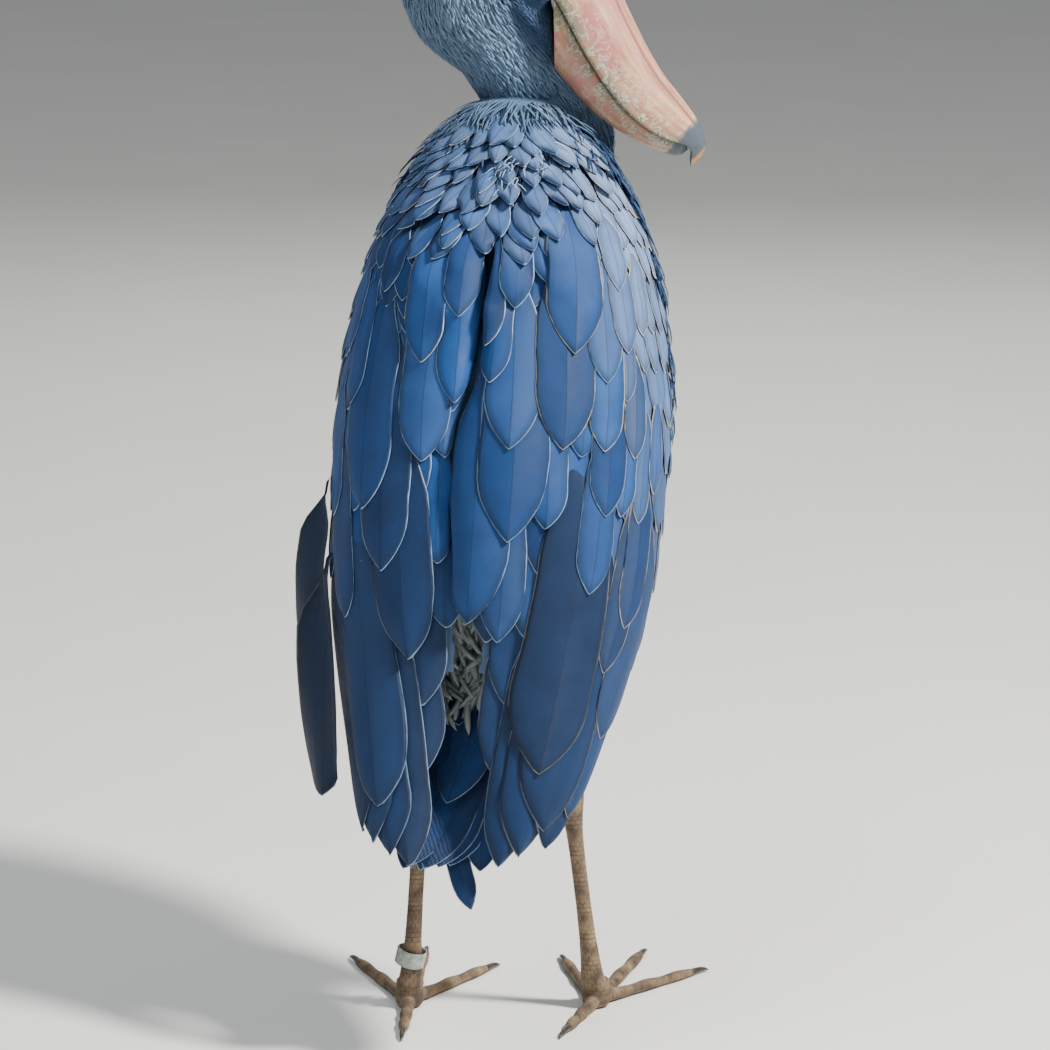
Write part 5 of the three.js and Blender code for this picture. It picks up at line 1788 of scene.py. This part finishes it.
def eye_material():
    # A wet ball: nearly mirror smooth, with the iris seen through the clear front.
    material, tree, shader = new_material("wet eye", Roughness=0.06, Coat_Weight=1.0, Coat_Roughness=0.03)
    radius = add_node(tree, "ShaderNodeAttribute", {"attribute_name": "radius"}).outputs["Fac"]
    coordinates = add_node(tree, "ShaderNodeTexCoord").outputs["Object"]
    fleck = add_node(tree, "ShaderNodeTexNoise", Vector=coordinates, Scale=1 / (1.4 * MM), Detail=3.0)
    ragged = add_node(tree, "ShaderNodeMath", MULTIPLY_ADD, _0=fleck, _1=0.7, _2=radius)
    scaled = add_node(tree, "ShaderNodeMath", {"operation": "DIVIDE"}, _0=ragged, _1=12.0)
    stops = (
        (PUPIL / 12, "#0a0a0c"), ((PUPIL + 0.5) / 12, "#b9bd9d"), (0.5, "#d9dcb9"), (IRIS / 12, "#a9ad92"),
        ((IRIS + 0.8) / 12, "#3a3c3a"), (0.95, "#d8d4c8"),
    )
    ramp = add_node(tree, "ShaderNodeValToRGB", stops=stops, Fac=scaled)
    feed(tree, shader, Base_Color=ramp.outputs["Color"])
    return material


def eye_piece(name, side, material):
    around, up = turns(48)[None, :], np.linspace(0, np.pi, 34)[1:-1, None]
    radius = EYE["radius"]
    off = radius * np.sin(up)
    out = radius * np.cos(up) + 1.3 * np.exp(-((off / 6.5) ** 2)) * (np.cos(up) > 0)
    x = EYE["x"] + off * np.cos(around)
    z = EYE["z"] + off * np.sin(around)
    y = side * (EYE["y"] + out) + 0 * around
    points, faces = loft(np.stack(np.broadcast_arrays(x, y, z), -1))
    faces = facing_out(points, faces)
    made = new_piece(name, from_head(points), faces, material)
    away = np.hypot(points[:, 0] - EYE["x"], points[:, 2] - EYE["z"])
    front = side * (points[:, 1] - side * EYE["y"]) > 0
    add_values(made.data, "radius", np.where(front, away, 12.0))
    return made


def lid_piece(name, side, material):
    """A puckered ring round the eye, higher in front and behind, in the head's surface."""
    around, ring = turns(64)[:, None], turns(18)[None, :]
    thick = 2.9 + 0.35 * np.cos(9 * around) * np.sin(ring)
    radius = 11.0 + thick * np.cos(ring) * 0.9
    out = 9.0 + thick * np.sin(ring) - 1.5 * np.cos(2 * around)
    x = radius * np.cos(around)
    y = side * (EYE["y"] + out) - 0.16 * x
    points = np.stack([EYE["x"] + x, y, EYE["z"] + radius * 0.92 * np.sin(around)], -1)
    count, sides = points.shape[:2]
    faces = []
    for r in range(count):
        for k in range(sides):
            here, ahead, beside = r * sides, (r + 1) % count * sides, (k + 1) % sides
            faces.append([here + k, here + beside, ahead + beside, ahead + k])
    flat = points.reshape(-1, 3)
    faces = facing_out(flat, faces)
    return new_piece(name, from_head(flat), faces, material)


wet_eye = eye_material()
bare_lid = plumage_material("bare lid skin", "#55606c", "#8d98a2", 0.05)
for word, side in (("left", LEFT), ("right", RIGHT)):
    finish_piece(eye_piece("eyeball_" + word, side, wet_eye), "pale_eye", "eye_" + word)
    lid = lid_piece("lid_" + word, side, bare_lid)
    add_values(lid.data, "pale", np.full(len(lid.data.vertices), 0.35))
    finish_piece(lid, "grey_down")

# %% [markdown]
# ## Legs, toes and claws
# The bare legs are covered in small horny scales, which become cross plates on the toes. Each leg is
# joined from tapering tubes, remeshed finely, and its scales are raised in the mesh itself. The claws
# are separate curved cones. A band with an overlap sits loosely on the left leg.

# %% Leg forms
TOES = (("middle", 0, 152, 7.8), ("inner", 33, 128, 7.2), ("outer", -30, 136, 7.2), ("hind", 178, 84, 7.4))
TOE_PADS = (
    (0, 12, 1.25), (0.17, 7.2, 1), (0.36, 5.6, 0.82), (0.52, 5.8, 0.9), (0.68, 4.9, 0.72), (0.84, 5.2, 0.8),
    (1, 4.6, 0.56)
)
CLAW_LENGTH, CLAW_RADIUS = 25.0, 3.6
LEG_VOXEL = 1.3


def leg_stations(leg):
    foot = np.array([*leg["foot"], 0.0])
    ankle = np.array([*leg["ankle"], ANKLE_HEIGHT])
    knee = np.array([ankle[0] - leg["side"] * 3, ankle[1] - 16, KNEE_HEIGHT])
    shank = [[*knee, 12], [*blend(knee, ankle, 0.5)[:2], 274, 10.5], [*ankle[:2], 258, 11.5]]
    shank = [[knee[0], knee[1], KNEE_HEIGHT + 8, 12], *shank]
    joint = [[*ankle[:2], ANKLE_HEIGHT + 6, 14.5], [*ankle[:2], ANKLE_HEIGHT - 6, 14.5]]
    shaft = ((0.11, 10.5), (0.22, 8.3), (0.45, 7.8), (0.64, 8.5), (0.75, 9.8), (0.83, 11.4), (0.9, 14))
    down = [[*blend(ankle, foot, t), radius] for t, radius in shaft]
    return shank + joint + down, foot


def toe_way(leg, angle):
    way = -np.pi / 2 + leg["side"] * np.radians(leg["heading"] - angle)
    return np.array([np.cos(way), np.sin(way), 0.0])


def leg_piece(word, leg, material):
    stations, foot = leg_stations(leg)
    sources = [closed_form("form_leg", limb_rings(stations, 60, 28, level=True))]
    hub = [
        [foot[0], foot[1], 2, 13], [foot[0], foot[1], 8, 15], [foot[0], foot[1], 16, 15],
        [foot[0], foot[1], 30, 13]
    ]
    sources.append(closed_form("form_hub", limb_rings(hub, 12, 28, level=True)))
    for _, angle, length, thick in TOES:
        ahead = toe_way(leg, angle)
        pads = [[*(foot + ahead * share * length)[:2], z, wide * thick] for share, z, wide in TOE_PADS]
        sources.append(closed_form("form_toe", limb_rings(pads, 60, 20, axis=(0, 0, 1))))
    made = remeshed("leg_" + word, sources, LEG_VOXEL, 3)
    for source in sources:
        bpy.data.objects.remove(source)
    points = plan_points(made.data)
    normals = np.empty(len(points) * 3)
    made.data.vertices.foreach_get("normal", normals)
    normals = normals.reshape(-1, 3)
    share = np.clip((ANKLE_HEIGHT - points[:, 2]) / ANKLE_HEIGHT, 0, 1)
    axis = blend(np.array(leg["ankle"], float), np.array(leg["foot"], float), share[:, None])
    away = points[:, :2] - axis
    angle = np.arctan2(away[:, 1], away[:, 0])
    reach = np.linalg.norm(points[:, :2] - foot[:2], axis=1)
    row = points[:, 2] / 5.0
    cell = np.abs(((angle * 9 / 5.0 / np.pi * 2.6 + 0.5 * (np.floor(row) % 2)) % 1) - 0.5) * 2
    seam = np.minimum(1 - cell, np.abs((row % 1) - 0.5) * -2 + 1)
    shank_scale = ease(seam, 0.0, 0.25)
    toe_scale = ease(np.abs((reach / 4.2) % 1 - 0.5), 0.03, 0.16)
    on_toe = ease(-points[:, 2], -22, -14)
    raised = blend(shank_scale, toe_scale, on_toe) * ease(points[:, 2], 1.0, 3.0)
    points = points + normals * (0.45 * raised - 0.35)[:, None]
    points[:, 2] = np.maximum(points[:, 2], 0.0)
    made.data.vertices.foreach_set("co", to_frame(points).ravel())
    add_values(made.data, "raised", raised)
    made.data.materials.append(material)
    made.data.update()
    return made


def claw_piece(name, leg, angle, length, material):
    foot = np.array([*leg["foot"], 0.0])
    ahead = toe_way(leg, angle)
    shape = ((-3, 4.6, 0.95), (0.3, 4.7, 1), (11, 5.0, 0.8), (20, 3.6, 0.5), (CLAW_LENGTH, 1.5, 0.14))
    stations = [[*(foot + ahead * (length + run))[:2], z, CLAW_RADIUS * wide] for run, z, wide in shape]
    rings = limb_rings(stations, 26, 20, axis=(0, 0, 1))
    rings[..., 2] = np.maximum(rings[..., 2], 0.05)
    points, faces = loft(rings)
    faces = facing_out(points, faces)
    return new_piece(name, points, faces, material)


# %% [markdown]
# ## Scales and claws
# The scales' seams are in the mesh, so their material only darkens the seams and adds dust and wear.

# %% Leg materials
def scale_material():
    # Dry horny scales: grey-brown, dusty in the seams, a little glossy where they are rubbed.
    material, tree, shader = new_material("dry leg scales", Specular_IOR_Level=0.35)
    coordinates = add_node(tree, "ShaderNodeTexCoord").outputs["Object"]
    raised = add_node(tree, "ShaderNodeAttribute", {"attribute_name": "raised"}).outputs["Fac"]
    blotch = add_node(tree, "ShaderNodeTexNoise", Vector=coordinates, Scale=1 / (16 * MM), Detail=5.0)
    stops = ((0.32, "#4a3c30"), (0.5, "#75614c"), (0.7, "#94805f"))
    ramp = add_node(tree, "ShaderNodeValToRGB", stops=stops, Fac=blotch)
    seam = add_node(tree, "ShaderNodeMapRange", Value=raised, To_Min=0.75, To_Max=0.0)
    dusty = add_node(tree, "ShaderNodeMix", COLOURS, _0=seam, _6=ramp.outputs["Color"], _7=linear("#3d342c"))
    fine = add_node(tree, "ShaderNodeTexNoise", Vector=coordinates, Scale=1 / (1.2 * MM), Detail=3.0)
    bump = add_node(tree, "ShaderNodeBump", Height=fine, Strength=0.4, Distance=0.3 * MM)
    rough = add_node(tree, "ShaderNodeMapRange", Value=blotch, To_Min=0.5, To_Max=0.85)
    feed(tree, shader, Base_Color=dusty.outputs[2], Roughness=rough, Normal=bump.outputs["Normal"])
    return material


def claw_material():
    # Solid horn, dark and polished by use, with fine lines along its growth.
    material, tree, shader = new_material("dark claw horn", Roughness=0.38)
    coordinates = add_node(tree, "ShaderNodeTexCoord").outputs["Object"]
    lines = add_node(tree, "ShaderNodeTexNoise", Vector=coordinates, Scale=1 / (5 * MM), Detail=4.0)
    ramp = add_node(tree, "ShaderNodeValToRGB", stops=((0.3, "#1c1814"), (0.75, "#4d4237")), Fac=lines)
    bump = add_node(tree, "ShaderNodeBump", Height=lines, Strength=0.3, Distance=0.3 * MM)
    feed(tree, shader, Base_Color=ramp.outputs["Color"], Normal=bump.outputs["Normal"])
    return material


leg_scales, claw_horn = scale_material(), claw_material()
for word, leg in LEGS.items():
    bare = leg_piece(word, leg, leg_scales)
    toe_nodes = ["toe_%s_%s" % (toe[0], word) for toe in TOES]
    finish_piece(bare, "leg_scales", "shank_" + word, "tarsus_" + word, "foot_" + word, *toe_nodes)
    for toe, angle, length, _ in TOES:
        name = "%s_%s" % (toe, word)
        claw = claw_piece("claw_horn_" + name, leg, angle, length, claw_horn)
        finish_piece(claw, "dark_claw", "claw_" + name)

# %% [markdown]
# ## The leg ring
# A strip of plastic is bent once round the leg, and its ends overlap. It is swept from one rounded
# profile, because a cut tube would lack the overlap.

# %% The leg ring
RING = {"height": 56.0, "inner": 14.2, "wall": 1.6, "tall": 17.0, "tilt": np.radians(-13), "aside": 1.25}


def ring_piece():
    """A plain strip wrapped once round the leg, with its ends overlapping and its edges rounded."""
    around = np.linspace(0, 2 * np.pi * 1.06, 110)[:, None]
    profile = np.array(
        [(0, -1), (0.25, -1), (0.75, -1), (1, -0.97), (1, -0.5), (1, 0), (1, 0.5), (1, 0.97), (0.75, 1),
         (0.25, 1), (0, 1), (0, 0.5), (0, 0), (0, -0.5)]
    )
    step = 0.5 * RING["wall"] * (ease(around, 5.9, 6.4) - 0.5 * ease(-around, -0.5, 0))
    radius = RING["inner"] + 0.1 + profile[None, :, 0] * RING["wall"] * 0.5 + step
    height = profile[None, :, 1] * RING["tall"] / 2
    x, y = radius * np.cos(around), radius * np.sin(around)
    z = height + 0 * around
    c, s = np.cos(RING["tilt"]), np.sin(RING["tilt"])
    leg = LEGS["left"]
    share = 1 - RING["height"] / ANKLE_HEIGHT
    centre = blend(np.array([*leg["ankle"], ANKLE_HEIGHT]), np.array([*leg["foot"], 0.0]), share)
    rings = np.stack([x * c + z * s, y, -x * s + z * c], -1) + centre + np.array([RING["aside"], 0, 0])
    return closed_form("band", rings)


def ring_material():
    # Moulded plastic left in the sun: pale, chalky, scuffed along its edges.
    material, tree, shader = new_material("weathered plastic ring")
    coordinates = add_node(tree, "ShaderNodeTexCoord").outputs["Object"]
    scuff = add_node(
        tree, "ShaderNodeTexNoise", Vector=coordinates, Scale=1 / (6 * MM), Detail=6.0, Roughness=0.7
    )
    ramp = add_node(tree, "ShaderNodeValToRGB", stops=((0.35, "#7f8a80"), (0.65, "#b9c4bb")), Fac=scuff)
    rough = add_node(tree, "ShaderNodeMapRange", Value=scuff, To_Min=0.35, To_Max=0.6)
    bump = add_node(tree, "ShaderNodeBump", Height=scuff, Strength=0.25, Distance=0.2 * MM)
    feed(tree, shader, Base_Color=ramp.outputs["Color"], Roughness=rough, Normal=bump.outputs["Normal"])
    return material


plastic = ring_material()
band = ring_piece()
band.data.materials.append(plastic)
finish_piece(band, "ring_plastic", "leg_ring")

# %% [markdown]
# ## Floor and lamps
# A floor 40 m wide reads as an endless pale ground. A small strong lamp gives the sun's side, and two
# large ones fill the shade as an open sky does.

# %% Floor and lamps
floor_material, floor_tree, floor_shader = new_material("pale studio floor", Roughness=0.85)
floor_place = add_node(floor_tree, "ShaderNodeTexCoord").outputs["Object"]
speckle = add_node(floor_tree, "ShaderNodeTexNoise", Vector=floor_place, Scale=3.0)
floor_ramp = add_node(floor_tree, "ShaderNodeValToRGB", stops=((0, "#ebebe7"), (1, "#f4f4f0")), Fac=speckle)
feed(floor_tree, floor_shader, Base_Color=floor_ramp)
FLOOR_HALF = 20000
floor_corners = [[x * FLOOR_HALF, y * FLOOR_HALF, 0] for x, y in ((-1, -1), (1, -1), (1, 1), (-1, 1))]
floor = new_piece("floor", floor_corners, [[0, 1, 2, 3]], floor_material, smooth=False)


def lamp(name, turn, rise, distance, size, power, colour):
    """A wide soft lamp that looks at the middle of the bird. turn is as for the camera."""
    data = bpy.data.lights.new(name, "AREA")
    data.shape, data.size, data.energy, data.color = "DISK", size, power, colour
    way = Vector((np.sin(turn) * np.cos(rise), -np.cos(turn) * np.cos(rise), np.sin(rise)))
    made = bpy.data.objects.new(name, data)
    made.location = Vector((0, 0, 0.7)) + way * distance
    made.rotation_euler = (-way).to_track_quat("-Z", "Y").to_euler()
    bpy.context.collection.objects.link(made)


lamp("sun side", VIEW_TURN + np.radians(66), np.radians(46), 3.2, 0.45, 265, (1.0, 0.97, 0.92))
lamp("sky", VIEW_TURN - np.radians(50), np.radians(60), 3.6, 1.6, 45, (0.92, 0.96, 1.0))
lamp("front fill", VIEW_TURN + np.radians(175), np.radians(30), 4.0, 3.0, 50, (1.0, 1.0, 1.0))
world = bpy.data.worlds.new("pale room")
world.use_nodes = True
world.node_tree.nodes["Background"].inputs["Color"].default_value = linear("#dfe3e6")
world.node_tree.nodes["Background"].inputs["Strength"].default_value = 0.32
bpy.context.scene.world = world

# %% [markdown]
# ## What stays
# The forms and blades only served to grow the coats, so they are removed.

# %% Clearing the forms
for item in list(bpy.data.objects):
    if item.name.startswith(("form_", "coat_", "blade_")):
        bpy.data.objects.remove(item)
